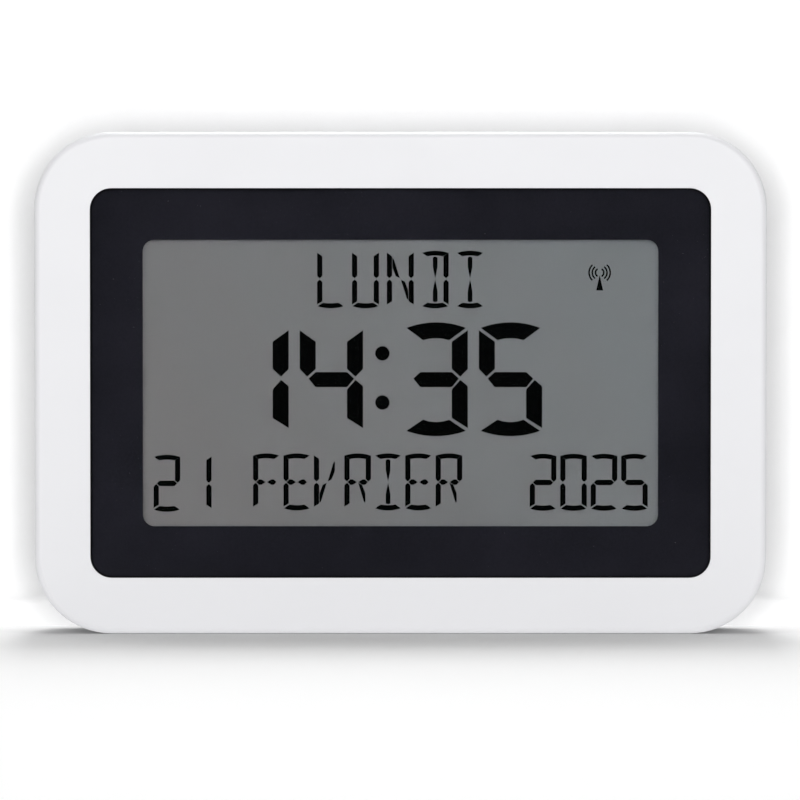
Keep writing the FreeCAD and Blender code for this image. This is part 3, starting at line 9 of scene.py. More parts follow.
import bmesh
import bpy
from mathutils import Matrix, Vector


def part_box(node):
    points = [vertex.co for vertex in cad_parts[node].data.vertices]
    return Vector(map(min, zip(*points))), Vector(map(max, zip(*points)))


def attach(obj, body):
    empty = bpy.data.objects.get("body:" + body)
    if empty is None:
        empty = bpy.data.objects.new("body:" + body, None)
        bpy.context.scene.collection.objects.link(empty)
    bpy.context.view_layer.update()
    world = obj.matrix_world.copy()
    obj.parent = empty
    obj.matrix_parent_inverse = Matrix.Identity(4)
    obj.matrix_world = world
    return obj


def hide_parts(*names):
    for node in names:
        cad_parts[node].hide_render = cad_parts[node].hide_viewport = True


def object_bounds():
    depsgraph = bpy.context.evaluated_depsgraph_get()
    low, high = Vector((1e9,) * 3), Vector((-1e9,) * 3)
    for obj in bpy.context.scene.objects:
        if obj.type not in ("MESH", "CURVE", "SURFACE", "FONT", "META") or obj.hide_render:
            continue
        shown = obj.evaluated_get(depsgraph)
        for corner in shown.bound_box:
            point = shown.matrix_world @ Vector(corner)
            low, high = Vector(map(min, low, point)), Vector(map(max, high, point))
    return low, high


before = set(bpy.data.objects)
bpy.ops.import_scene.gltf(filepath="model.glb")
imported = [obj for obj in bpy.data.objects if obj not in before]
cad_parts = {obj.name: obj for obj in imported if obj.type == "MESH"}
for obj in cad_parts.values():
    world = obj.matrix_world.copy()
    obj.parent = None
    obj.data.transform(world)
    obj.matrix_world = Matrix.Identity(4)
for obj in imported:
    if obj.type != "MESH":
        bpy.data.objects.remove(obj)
cad_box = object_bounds()

MM = 0.001

# The camera, in the photograph's frame
PHOTO_PIXELS = 800
PIXEL = 0.31378 * MM
LENS_MM = 200.0
SENSOR_MM = 36.0
CAMERA_HEIGHT_DEG = 1.5
CASE_ROW = 383.2
CASE_COLUMN = 400.5

# Levels of the studio. A level of 1 is white.
AMBIENT = 0.22
CARD_LEVEL = 0.006
CARD_EDGE_DEG = (12.0, 20.0)
PAPER_COLOUR = (0.55, 0.55, 0.55)
# Strength of the floor's painted underlight, a glow that the camera doesn't see
UNDERLIGHT = 0.35
FLOOR_SHOWN = (1.2, 1.2, 1.2)
WALL_SHOWN = (1.08, 1.08, 1.08)
# Reach of the painted shade round the object on floor and backdrop, and the share of the paper's colour left
# where it is deepest
FLOOR_PAINTED_SHADE_REACH = 120 * MM
WALL_PAINTED_SHADE_REACH = 14 * MM
PAINTED_SHADE_SHARE = 0.25

# Places that the part's source names
VIEW_WIDTH = 161.7 * MM
VIEW_HEIGHT = 89.8 * MM
VIEW_RADIUS = 3.7 * MM
PRINT_RADIUS = 6.2 * MM
WINDOW_RADIUS = 6.3 * MM
WINDOW_GAP = 0.4 * MM
LABEL_CENTRE = (66.0 * MM, 100.0 * MM)
LABEL_SIZE = (51.2 * MM, 25.2 * MM)
LABEL_FLOOR = 13.7 * MM


# Small helpers for node trees and meshes


def place(tree, kind, sockets=None, **settings):
    """Adds a node, sets its properties, and fills or links its sockets."""
    made = tree.nodes.new(kind)
    for name, value in settings.items():
        setattr(made, name, value)
    for socket, value in (sockets or {}).items():
        if isinstance(value, bpy.types.NodeSocket):
            tree.links.new(value, made.inputs[socket])
        else:
            made.inputs[socket].default_value = value
    return made


def maths(tree, operation, first, second=0.0, clamp=False):
    made = place(tree, "ShaderNodeMath", {0: first, 1: second}, operation=operation, use_clamp=clamp)
    return made.outputs[0]


def blended(tree, factor, first, second):
    """A colour between two others."""
    mix = place(tree, "ShaderNodeMix", data_type="RGBA")
    for index, value in ((0, factor), (6, first), (7, second)):
        if isinstance(value, bpy.types.NodeSocket):
            tree.links.new(value, mix.inputs[index])
        else:
            mix.inputs[index].default_value = value
    return mix.outputs[2]


def spread(tree, value, low, high, to_low, to_high):
    sockets = {"Value": value, "From Min": low, "From Max": high, "To Min": to_low, "To Max": to_high}
    return place(tree, "ShaderNodeMapRange", sockets).outputs["Result"]


def rgba(red, green, blue):
    return (red, green, blue, 1.0)


def object_place(tree):
    return place(tree, "ShaderNodeTexCoord").outputs["Object"]


def group_sockets(name, inputs, outputs):
    """An empty shader node group with named sockets, its inputs and its outputs."""
    tree = bpy.data.node_groups.new(name, "ShaderNodeTree")
    for label, kind, default in inputs:
        socket = tree.interface.new_socket(label, in_out="INPUT", socket_type=kind)
        if default is not None:
            socket.default_value = default
    for label, kind in outputs:
        tree.interface.new_socket(label, in_out="OUTPUT", socket_type=kind)
    entry = tree.nodes.new("NodeGroupInput").outputs
    end = tree.nodes.new("NodeGroupOutput").inputs
    return tree, entry, end


# Effects that several materials share


def grain_group():
    """Moulded grain: fine spark-eroded pits, a faint cloud in the colour and a roughness that follows it."""
    tree, entry, end = group_sockets(
        "moulded grain",
        [
            ("Place", "NodeSocketVector", None),
            ("Colour", "NodeSocketColor", rgba(0.8, 0.8, 0.8)),
            ("Roughness", "NodeSocketFloat", 0.4),
            ("Pits per metre", "NodeSocketFloat", 2600.0),
            ("Cloud", "NodeSocketFloat", 0.03),
        ],
        [("Colour", "NodeSocketColor"), ("Roughness", "NodeSocketFloat"), ("Height", "NodeSocketFloat")],
    )
    pits = place(
        tree,
        "ShaderNodeTexNoise",
        {"Vector": entry["Place"], "Scale": entry["Pits per metre"], "Detail": 3.0, "Roughness": 0.6},
    ).outputs["Fac"]
    cloud = place(
        tree, "ShaderNodeTexNoise", {"Vector": entry["Place"], "Scale": 34.0, "Detail": 4.0}
    ).outputs["Fac"]
    darker = maths(tree, "MULTIPLY", maths(tree, "SUBTRACT", 1.0, cloud), entry["Cloud"])
    tree.links.new(blended(tree, darker, entry["Colour"], rgba(0.0, 0.0, 0.0)), end["Colour"])
    lift = maths(tree, "MULTIPLY", maths(tree, "SUBTRACT", cloud, 0.5), 0.16)
    tree.links.new(maths(tree, "ADD", entry["Roughness"], lift), end["Roughness"])
    tree.links.new(pits, end["Height"])
    return tree


def drawn_group():
    """Rolled or drawn metal: long fine streaks, with a tarnish cloud."""
    tree, entry, end = group_sockets(
        "drawn metal",
        [
            ("Place", "NodeSocketVector", None),
            ("Along", "NodeSocketVector", (0.04, 1.0, 1.0)),
            ("Bright", "NodeSocketColor", rgba(0.7, 0.7, 0.68)),
            ("Dull", "NodeSocketColor", rgba(0.5, 0.48, 0.44)),
            ("Roughness", "NodeSocketFloat", 0.25),
        ],
        [("Colour", "NodeSocketColor"), ("Roughness", "NodeSocketFloat"), ("Height", "NodeSocketFloat")],
    )
    stretched = place(
        tree, "ShaderNodeVectorMath", {0: entry["Place"], 1: entry["Along"]}, operation="MULTIPLY"
    ).outputs[0]
    streaks = place(
        tree, "ShaderNodeTexNoise", {"Vector": stretched, "Scale": 3200.0, "Detail": 3.0}
    ).outputs["Fac"]
    cloud = place(
        tree, "ShaderNodeTexNoise", {"Vector": entry["Place"], "Scale": 160.0, "Detail": 5.0}
    ).outputs["Fac"]
    tarnish = spread(tree, cloud, 0.42, 0.7, 0.0, 0.8)
    tree.links.new(blended(tree, tarnish, entry["Bright"], entry["Dull"]), end["Colour"])
    uneven = maths(tree, "MULTIPLY", maths(tree, "ADD", streaks, tarnish), 0.14)
    tree.links.new(maths(tree, "ADD", entry["Roughness"], uneven), end["Roughness"])
    tree.links.new(streaks, end["Height"])
    return tree


def handled_group():
    """Handling marks on a smooth face: wiped smears and settled dust, as a mask of each."""
    tree, entry, end = group_sockets(
        "handling marks",
        [("Place", "NodeSocketVector", None), ("Smear", "NodeSocketFloat", 0.5)],
        [("Smear", "NodeSocketFloat"), ("Dust", "NodeSocketFloat")],
    )
    wiped = place(
        tree, "ShaderNodeVectorMath", {0: entry["Place"], 1: (1.0, 1.0, 2.6)}, operation="MULTIPLY"
    ).outputs[0]
    smears = place(
        tree, "ShaderNodeTexNoise", {"Vector": wiped, "Scale": 22.0, "Detail": 6.0, "Distortion": 0.8}
    ).outputs["Fac"]
    soft = spread(tree, smears, 0.45, 0.75, 0.0, 1.0)
    tree.links.new(maths(tree, "MULTIPLY", soft, entry["Smear"]), end["Smear"])
    specks = place(
        tree, "ShaderNodeTexVoronoi", {"Vector": entry["Place"], "Scale": 420.0}, feature="F1"
    )
    near = spread(tree, specks.outputs["Distance"], 0.05, 0.09, 1.0, 0.0)
    chosen = place(tree, "ShaderNodeSeparateColor", {"Color": specks.outputs["Color"]}).outputs["Red"]
    tree.links.new(maths(tree, "MULTIPLY", near, maths(tree, "GREATER_THAN", chosen, 0.93)), end["Dust"])
    return tree


grain = grain_group()
drawn = drawn_group()
handled = handled_group()


# Materials


def start_material(name):
    """A material with its tree cleared but for the output, the surface shader and Object coordinates."""
    material = bpy.data.materials.new(name)
    material.use_nodes = True
    tree = material.node_tree
    tree.nodes.clear()
    surface = tree.nodes.new("ShaderNodeBsdfPrincipled")
    output = tree.nodes.new("ShaderNodeOutputMaterial")
    tree.links.new(surface.outputs["BSDF"], output.inputs["Surface"])
    return material, tree, surface, output


def use(tree, surface, colour=None, roughness=None, height=None, depth=0.01 * MM):
    """Feeds a surface shader from an effect's outputs, the height by way of a bump."""
    if colour is not None:
        tree.links.new(colour, surface.inputs["Base Color"])
    if roughness is not None:
        tree.links.new(roughness, surface.inputs["Roughness"])
    if height is not None:
        bump = place(tree, "ShaderNodeBump", {"Height": height, "Strength": 1.0, "Distance": depth})
        tree.links.new(bump.outputs["Normal"], surface.inputs["Normal"])


def placed_group(tree, group, sockets):
    made = tree.nodes.new("ShaderNodeGroup")
    made.node_tree = group
    for name, value in sockets.items():
        if isinstance(value, bpy.types.NodeSocket):
            tree.links.new(value, made.inputs[name])
        else:
            made.inputs[name].default_value = value
    return made.outputs


def moulded(name, colour, roughness, pits=2600.0, cloud=0.03, depth=0.008 * MM, coat=0.0, gloss=0.5):
    """Moulded plastic or rubber."""
    material, tree, surface, _ = start_material(name)
    sockets = {"Place": object_place(tree), "Colour": rgba(*colour), "Roughness": roughness}
    sockets.update({"Pits per metre": pits, "Cloud": cloud})
    effect = placed_group(tree, grain, sockets)
    use(tree, surface, effect["Colour"], effect["Roughness"], effect["Height"], depth)
    surface.inputs["Coat Weight"].default_value = coat
    surface.inputs["Specular IOR Level"].default_value = gloss
    return material


def metal(name, bright, dull, roughness, along=(0.04, 1.0, 1.0), depth=0.004 * MM):
    material, tree, surface, _ = start_material(name)
    sockets = {"Place": object_place(tree), "Bright": rgba(*bright), "Dull": rgba(*dull)}
    sockets.update({"Roughness": roughness, "Along": along})
    effect = placed_group(tree, drawn, sockets)
    use(tree, surface, effect["Colour"], effect["Roughness"], effect["Height"], depth)
    surface.inputs["Metallic"].default_value = 1.0
    return material


def case_plastic():
    """Satin white case plastic, a shade cooler than paper, with faint wiped marks in its gloss."""
    material, tree, surface, _ = start_material("case white")
    where = object_place(tree)
    sockets = {"Place": where, "Colour": rgba(0.8, 0.8, 0.822), "Roughness": 0.42}
    sockets.update({"Pits per metre": 3200.0, "Cloud": 0.016})
    effect = placed_group(tree, grain, sockets)
    marks = placed_group(tree, handled, {"Place": where, "Smear": 0.07})
    rough = maths(tree, "SUBTRACT", effect["Roughness"], marks["Smear"])
    use(tree, surface, effect["Colour"], rough, effect["Height"], 0.006 * MM)
    return material


def window_plastic():
    """Clear acrylic. Lamps pass it, so that what lies behind is lit."""
    material, tree, surface, output = start_material("window clear")
    marks = placed_group(tree, handled, {"Place": object_place(tree), "Smear": 0.012})
    tree.links.new(maths(tree, "ADD", marks["Smear"], 0.0), surface.inputs["Roughness"])
    surface.inputs["Base Color"].default_value = rgba(0.985, 0.99, 0.99)
    surface.inputs["Transmission Weight"].default_value = 1.0
    surface.inputs["IOR"].default_value = 1.49
    through = place(tree, "ShaderNodeBsdfTransparent", {"Color": rgba(0.96, 0.965, 0.965)})
    shadow = place(tree, "ShaderNodeLightPath").outputs["Is Shadow Ray"]
    mixed = place(
        tree, "ShaderNodeMixShader", {0: shadow, 1: surface.outputs[0], 2: through.outputs[0]}
    )
    tree.links.new(mixed.outputs[0], output.inputs["Surface"])
    return material


def border_ink():
    """The black print behind the window, very slightly blue, with the faint mottle of a screened ink."""
    material, tree, surface, _ = start_material("border black")
    where = object_place(tree)
    mottle = place(
        tree, "ShaderNodeTexNoise", {"Vector": where, "Scale": 26.0, "Detail": 5.0, "Roughness": 0.55}
    ).outputs["Fac"]
    screen = place(
        tree, "ShaderNodeTexNoise", {"Vector": where, "Scale": 1500.0, "Detail": 1.0}
    ).outputs["Fac"]
    uneven = maths(tree, "ADD", maths(tree, "MULTIPLY", mottle, 0.7), maths(tree, "MULTIPLY", screen, 0.3))
    share = spread(tree, uneven, 0.35, 0.65, 0.0, 1.0)
    colour = blended(tree, share, rgba(0.0082, 0.0083, 0.0112), rgba(0.0142, 0.014, 0.019))
    use(tree, surface, colour, spread(tree, screen, 0.3, 0.7, 0.5, 0.6))
    surface.inputs["Specular IOR Level"].default_value = 0.0
    return material


def readout_grey(name, low_colour, high_colour):
    """The silvered grey behind the segments. Its tint drifts in broad slanting bands from a lower corner."""
    material, tree, surface, _ = start_material(name)
    where = object_place(tree)
    lowest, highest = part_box("lcd_reflector")
    centre = (lowest + highest) / 2
    reach = (highest.x - lowest.x) / 2
    from_centre = place(
        tree, "ShaderNodeVectorMath", {0: where, 1: tuple(centre)}, operation="SUBTRACT"
    ).outputs[0]
    slant = place(
        tree, "ShaderNodeVectorMath", {0: from_centre, 1: (0.84, 0.0, 0.54)}, operation="DOT_PRODUCT"
    ).outputs["Value"]
    drift = spread(tree, slant, -reach, reach, 0.0, 1.0)
    wave = place(tree, "ShaderNodeMath", {0: maths(tree, "MULTIPLY", slant, 230.0)}, operation="SINE")
    bands = maths(tree, "MULTIPLY", wave.outputs[0], 0.045)
    flakes = place(
        tree, "ShaderNodeTexNoise", {"Vector": where, "Scale": 5200.0, "Detail": 2.0}
    ).outputs["Fac"]
    share = maths(tree, "ADD", drift, bands, clamp=True)
    tint = blended(tree, share, rgba(*low_colour), rgba(*high_colour))
    speckle = spread(tree, flakes, 0.3, 0.7, 0.0, 0.05)
    colour = blended(tree, speckle, tint, rgba(0.05, 0.05, 0.05))
    use(tree, surface, colour, spread(tree, flakes, 0.3, 0.7, 0.55, 0.7), flakes, 0.004 * MM)
    surface.inputs["Specular IOR Level"].default_value = 0.1
    return material


def segment_ink():
    """A driven segment: nearly black, denser in its middle than the liquid's grain shows at its edge."""
    material, tree, surface, _ = start_material("segment black")
    flow = place(
        tree, "ShaderNodeTexNoise", {"Vector": object_place(tree), "Scale": 900.0, "Detail": 2.0}
    ).outputs["Fac"]
    colour = blended(tree, flow, rgba(0.0002, 0.0003, 0.0005), rgba(0.0005, 0.0007, 0.001))
    use(tree, surface, colour, spread(tree, flow, 0.3, 0.7, 0.7, 0.8))
    surface.inputs["Specular IOR Level"].default_value = 0.0
    return material


def thin_film(name, colour, opacity, roughness):
    """A film or glass that only tints what lies behind it."""
    material, tree, surface, _ = start_material(name)
    marks = placed_group(tree, handled, {"Place": object_place(tree), "Smear": 0.08})
    use(tree, surface, roughness=maths(tree, "ADD", marks["Smear"], roughness))
    surface.inputs["Base Color"].default_value = rgba(*colour)
    surface.inputs["Specular IOR Level"].default_value = 0.0
    cloud = place(
        tree, "ShaderNodeTexNoise", {"Vector": object_place(tree), "Scale": 9.0, "Detail": 2.0}
    ).outputs["Fac"]
    alpha = spread(tree, cloud, 0.3, 0.7, opacity * 0.97, opacity * 1.03)
    tree.links.new(alpha, surface.inputs["Alpha"])
    return material


def board_laminate():
    """Green lacquered circuit board: tracks that run in steps under the lacquer, and tinned pads."""
    material, tree, surface, _ = start_material("board green")
    where = object_place(tree)
    cells = place(
        tree,
        "ShaderNodeTexVoronoi",
        {"Vector": where, "Scale": 190.0, "Randomness": 0.55},
        feature="DISTANCE_TO_EDGE",
        distance="EUCLIDEAN",
    ).outputs["Distance"]
    tracks = spread(tree, cells, 0.05, 0.07, 1.0, 0.0)
    pads = place(
        tree, "ShaderNodeTexVoronoi", {"Vector": where, "Scale": 260.0, "Randomness": 0.3}, feature="F1"
    )
    ring = spread(tree, pads.outputs["Distance"], 0.16, 0.19, 1.0, 0.0)
    kept = place(tree, "ShaderNodeSeparateColor", {"Color": pads.outputs["Color"]}).outputs["Green"]
    tinned = maths(tree, "MULTIPLY", ring, maths(tree, "GREATER_THAN", kept, 0.8))
    lacquer = blended(tree, tracks, rgba(0.012, 0.11, 0.038), rgba(0.03, 0.19, 0.065))
    colour = blended(tree, tinned, lacquer, rgba(0.62, 0.62, 0.6))
    height = maths(tree, "ADD", maths(tree, "MULTIPLY", tracks, 0.4), tinned)
    use(tree, surface, colour, spread(tree, tinned, 0.0, 1.0, 0.32, 0.22), height, 0.03 * MM)
    tree.links.new(tinned, surface.inputs["Metallic"])
    return material


def cell_sleeve():
    """A dry cell: a printed sleeve with a broad band, between bare steel ends."""
    material, tree, surface, _ = start_material("cell jacket")
    where = object_place(tree)
    lowest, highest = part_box("upper_cell")
    along = place(tree, "ShaderNodeSeparateXYZ", {"Vector": where}).outputs["X"]
    inset, band = 0.9 * MM, 13.0 * MM
    after = spread(tree, along, lowest.x + inset, lowest.x + inset + 0.05 * MM, 0.0, 1.0)
    before = spread(tree, along, highest.x - 2.1 * MM, highest.x - 2.05 * MM, 1.0, 0.0)
    sleeve = maths(tree, "MULTIPLY", after, before)
    banded = spread(tree, along, highest.x - band, highest.x - band + 0.1 * MM, 0.0, 1.0)
    print_colour = blended(tree, banded, rgba(0.035, 0.12, 0.13), rgba(0.55, 0.56, 0.55))
    scuffs = placed_group(tree, handled, {"Place": where, "Smear": 0.3})
    colour = blended(tree, sleeve, rgba(0.66, 0.66, 0.64), print_colour)
    rough = maths(tree, "ADD", scuffs["Smear"], 0.24)
    use(tree, surface, colour, rough)
    tree.links.new(maths(tree, "SUBTRACT", 1.0, sleeve), surface.inputs["Metallic"])
    return material


def wound_copper():
    """Enamelled copper, wound in close turns round the rod."""
    material, tree, surface, _ = start_material("coil copper")
    where = object_place(tree)
    turns = place(
        tree, "ShaderNodeTexWave", {"Vector": where, "Scale": 1100.0, "Distortion": 0.6}, bands_direction="X"
    ).outputs["Fac"]
    colour = blended(tree, turns, rgba(0.34, 0.12, 0.045), rgba(0.78, 0.36, 0.16))
    use(tree, surface, colour, spread(tree, turns, 0.0, 1.0, 0.42, 0.28), turns, 0.06 * MM)
    surface.inputs["Metallic"].default_value = 1.0
    return material


def striped_rubber():
    """The contact strip: thin carbon layers across a translucent silicone."""
    material, tree, surface, _ = start_material("strip rubber")
    where = object_place(tree)
    layers = place(
        tree, "ShaderNodeTexWave", {"Vector": where, "Scale": 1600.0}, bands_direction="X"
    ).outputs["Fac"]
    carbon = maths(tree, "GREATER_THAN", layers, 0.5)
    colour = blended(tree, carbon, rgba(0.5, 0.5, 0.47), rgba(0.02, 0.02, 0.02))
    use(tree, surface, colour, spread(tree, layers, 0.0, 1.0, 0.5, 0.65), layers, 0.01 * MM)
    return material


def striped_ribbon():
    """A flat cable: round cores side by side under a grey jacket."""
    material, tree, surface, _ = start_material("ribbon grey")
    where = object_place(tree)
    cores = place(
        tree, "ShaderNodeTexWave", {"Vector": where, "Scale": 250.0}, bands_direction="DIAGONAL"
    ).outputs["Fac"]
    colour = blended(tree, cores, rgba(0.3, 0.31, 0.33), rgba(0.5, 0.51, 0.53))
    use(tree, surface, colour, spread(tree, cores, 0.0, 1.0, 0.5, 0.38), cores, 0.12 * MM)
    return material


def spotted_sounder():
    """Brass disc, lapped in rings, under a pale ceramic."""
    material, tree, surface, _ = start_material("sounder brass")
    where = object_place(tree)
    lapped = place(
        tree, "ShaderNodeTexNoise", {"Vector": where, "Scale": 900.0, "Detail": 3.0}
    ).outputs["Fac"]
    lowest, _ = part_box("sounder_disc")
    deep = place(tree, "ShaderNodeSeparateXYZ", {"Vector": where}).outputs["Y"]
    ceramic = maths(tree, "LESS_THAN", deep, lowest.y + 0.05 * MM)
    brass = blended(tree, lapped, rgba(0.6, 0.42, 0.17), rgba(0.82, 0.62, 0.3))
    colour = blended(tree, ceramic, brass, rgba(0.62, 0.6, 0.55))
    use(tree, surface, colour, spread(tree, lapped, 0.3, 0.7, 0.26, 0.4), lapped, 0.006 * MM)
    tree.links.new(maths(tree, "SUBTRACT", 1.0, ceramic), surface.inputs["Metallic"])
    return material


finishes = {
    "case_white": case_plastic(),
    "window_clear": window_plastic(),
    "border_black": border_ink(),
    "tape_white": moulded("tape white", (0.7, 0.7, 0.68), 0.8, pits=900.0, cloud=0.08, depth=0.03 * MM),
    "display_film": thin_film("display film", (0.004, 0.005, 0.005), 0.1, 0.3),
    "display_glass": thin_film("display glass", (0.01, 0.014, 0.012), 0.03, 0.05),
    "seal_grey": moulded("seal grey", (0.16, 0.16, 0.17), 0.6, pits=1800.0, cloud=0.1),
    "segment_black": segment_ink(),
    "reflector_grey": readout_grey("reflector grey", (0.43, 0.43, 0.43), (0.45, 0.48, 0.49)),
    "frame_black": moulded("frame black", (0.018, 0.018, 0.02), 0.5, pits=2000.0, cloud=0.2),
    "strip_rubber": striped_rubber(),
    "board_green": board_laminate(),
    "resin_black": moulded("resin black", (0.012, 0.012, 0.013), 0.22, pits=500.0, cloud=0.2, coat=0.4),
    "can_metal": metal("can metal", (0.74, 0.74, 0.72), (0.5, 0.49, 0.46), 0.2),
    "sleeve_blue": moulded("sleeve blue", (0.02, 0.035, 0.12), 0.35, pits=1500.0, cloud=0.12),
    "screw_steel": metal("screw steel", (0.62, 0.62, 0.63), (0.34, 0.33, 0.32), 0.26, along=(1.0, 0.1, 1.0)),
    "key_grey": moulded("key grey", (0.33, 0.34, 0.36), 0.48, pits=2400.0, cloud=0.06),
    "switch_black": moulded("switch black", (0.02, 0.02, 0.02), 0.42, pits=2000.0, cloud=0.2),
    "plunger_white": moulded("plunger white", (0.68, 0.67, 0.62), 0.4, pits=2200.0, cloud=0.05),
    "ribbon_grey": striped_ribbon(),
    "ferrite_dark": moulded("ferrite dark", (0.022, 0.02, 0.02), 0.62, pits=1300.0, cloud=0.3),
    "coil_copper": wound_copper(),
    "sounder_brass": spotted_sounder(),
    "cell_jacket": cell_sleeve(),
    "contact_nickel": metal("contact nickel", (0.72, 0.7, 0.65), (0.46, 0.43, 0.37), 0.22),
    "wire_red": moulded("wire red", (0.42, 0.012, 0.012), 0.4, pits=1500.0, cloud=0.1),
    "wire_black": moulded("wire black", (0.015, 0.015, 0.016), 0.4, pits=1500.0, cloud=0.1),
    "bead": moulded("black bead", (0.006, 0.006, 0.007), 0.6, pits=900.0, cloud=0.3, gloss=0.0),
    "mark": moulded("mark print", (0.85, 0.85, 0.85), 0.5, pits=3000.0, cloud=0.05, depth=0.002 * MM),
    "dust": moulded("dust", (0.3, 0.3, 0.31), 0.9, pits=9000.0, cloud=0.2, depth=0.01 * MM),
    "label": moulded("label paper", (0.6, 0.61, 0.63), 0.4, pits=700.0, cloud=0.06, depth=0.003 * MM),
}
silvered_glass = readout_grey("silvered glass", (0.512, 0.49, 0.5), (0.52, 0.552, 0.576))

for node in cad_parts.values():
    for index, old in enumerate(list(node.data.materials)):
        node.data.materials[index] = finishes[old.name.split(".")[0]]
rear_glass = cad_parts["lcd_rear_glass"]
rear_glass.data.materials[0] = silvered_glass


# Pieces of the scene


def finished_piece(name, mesh_maker, material, body):
    """A mesh piece at the origin, that rides on a body and takes its finish from a slot."""
    work = bmesh.new()
    mesh_maker(work)
    bmesh.ops.recalc_face_normals(work, faces=work.faces)
    mesh = bpy.data.meshes.new(name)
    work.to_mesh(mesh)
    work.free()
    mesh.materials.append(material)
    piece = bpy.data.objects.new(name, mesh)
    bpy.context.scene.collection.objects.link(piece)
    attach(piece, body)
    return piece


def extruded(work, points, y0, y1):
    """A prism over (x, z) points, from y0 back to y1."""
    front = [work.verts.new((x, y0, z)) for x, z in points]
    back = [work.verts.new((x, y1, z)) for x, z in points]
    work.faces.new(front)
    work.faces.new(list(reversed(back)))
    for i in range(len(points)):
        j = (i + 1) % len(points)
        work.faces.new((front[i], back[i], back[j], front[j]))


def round_rectangle(x0, x1, z0, z1, radius, steps=12):
    """Points of a rectangle with round corners, anticlockwise."""
    corners = [
        (x1 - radius, z1 - radius, 0),
        (x0 + radius, z1 - radius, 90),
        (x0 + radius, z0 + radius, 180),
        (x1 - radius, z0 + radius, 270),
    ]
    points = []
    for cx, cz, first in corners:
        for i in range(steps + 1):
            angle = math.radians(first + 90 * i / steps)
            points.append((cx + radius * math.cos(angle), cz + radius * math.sin(angle)))
    return points


def framed(work, outer, inner, y0, y1):
    """A flat ring between two outlines with the same number of points, from y0 back to y1."""
    rings = [[work.verts.new((x, y, z)) for x, z in points] for y in (y0, y1) for points in (outer, inner)]
    front_outer, front_inner, back_outer, back_inner = rings
    pairs = [
        (front_outer, front_inner),
        (front_inner, back_inner),
        (back_inner, back_outer),
        (back_outer, front_outer),
    ]
    for first, second in pairs:
        for i in range(len(first)):
            j = (i + 1) % len(first)
            work.faces.new((first[i], first[j], second[j], second[i]))


def window_border():
    """The black print, a hair behind the window so that the two never share a face. Its opening is eased, so
    that the soft shade along its edge falls where the crisp edge of the view is."""
    lowest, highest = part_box("lens_border_print")
    step_back, eased = 0.02 * MM, 0.08 * MM
    middle = (lowest.z + highest.z) / 2
    outer = round_rectangle(lowest.x, highest.x, lowest.z, highest.z, PRINT_RADIUS)
    half_width, half_height = VIEW_WIDTH / 2 + eased, VIEW_HEIGHT / 2 + eased
    inner = round_rectangle(-half_width, half_width, middle - half_height, middle + half_height, VIEW_RADIUS)

    def build(work):
        framed(work, outer, inner, lowest.y + step_back, highest.y)

    made = finished_piece("window_border", build, finishes["border_black"], "case")
    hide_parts("lens_border_print")
    return made


def window_bead():
    """A black bead that fills the gap round the window and laps over its edge, so that the gap stays dark."""
    lowest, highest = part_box("display_lens")
    slack, lap, proud, short = 0.01 * MM, 0.13 * MM, 0.01 * MM, 0.1 * MM

    def outline(reach):
        radius = WINDOW_RADIUS + reach
        return round_rectangle(
            lowest.x - reach, highest.x + reach, lowest.z - reach, highest.z + reach, radius
        )

    def build(work):
        framed(work, outline(WINDOW_GAP - slack), outline(-lap), lowest.y - proud, highest.y - short)

    return finished_piece("window_bead", build, finishes["bead"], "case")


def bare_label():
    """A blank paper label in its recess on the back, laid a hair over the floor."""
    (cx, cz), (width, height) = LABEL_CENTRE, LABEL_SIZE
    corner, clear, top = 1.2 * MM, 0.005 * MM, 0.12 * MM
    points = round_rectangle(
        cx - width / 2, cx + width / 2, cz - height / 2, cz + height / 2, corner, steps=6
    )

    def build(work):
        extruded(work, points, LABEL_FLOOR + clear, LABEL_FLOOR + top)

    return finished_piece("bare_label", build, finishes["label"], "case")


def arc_points(radius, first, last, steps, cx=0.0, cz=0.0):
    """Points along an arc, between two angles in degrees."""
    angles = [math.radians(first + (last - first) * i / steps) for i in range(steps + 1)]
    return [(cx + radius * math.cos(a), cz + radius * math.sin(a)) for a in angles]


def arc_band(radius, line, first, last, steps=10, cz=0.0):
    outer = arc_points(radius + line / 2, first, last, steps, cz=cz)
    inner = arc_points(radius - line / 2, last, first, steps, cz=cz)
    return outer + inner


def key_symbol(key):
    """The outlines of one key's symbol, in a square of half side 1."""
    if key == "up":
        return [[(0.0, 0.8), (-0.85, -0.6), (0.85, -0.6)]]
    if key == "down":
        return [[(0.0, -0.8), (0.85, 0.6), (-0.85, 0.6)]]
    if key == "set":
        return [arc_band(0.65, 0.28, 0, 170), arc_band(0.65, 0.28, 180, 350)]
    if key == "language":
        bubble = round_rectangle(-0.95, 0.95, -0.35, 0.75, 0.3, steps=5)
        return [bubble, [(-0.35, -0.3), (-0.6, -0.85), (0.1, -0.3)]]
    if key == "alarm":
        dome = arc_points(0.55, 0, 180, 12, cz=0.15)
        return [dome + [(-0.8, -0.5), (0.8, -0.5)], arc_points(0.2, 180, 360, 6, cz=-0.58)]
    mast = [(0.0, 0.25), (-0.28, -0.85), (0.28, -0.85)]
    right_waves = [arc_band(radius, 0.2, -40, 40, cz=0.3) for radius in (0.5, 0.9)]
    left_waves = [arc_band(radius, 0.2, 140, 220, cz=0.3) for radius in (0.5, 0.9)]
    return [mast] + right_waves + left_waves


def key_marks():
    """A printed symbol on each key."""
    half, thickness = 1.35 * MM, 0.03 * MM
    for key in ("set", "up", "down", "language", "alarm", "signal"):
        lowest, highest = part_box(key + "_key")
        cx, cz = (lowest.x + highest.x) / 2, (lowest.z + highest.z) / 2

        def build(work):
            for outline in key_symbol(key):
                points = [(cx + x * half, cz + z * half) for x, z in outline]
                extruded(work, points, highest.y, highest.y + thickness)

        finished_piece(key + "_mark", build, finishes["mark"], key + "_button")


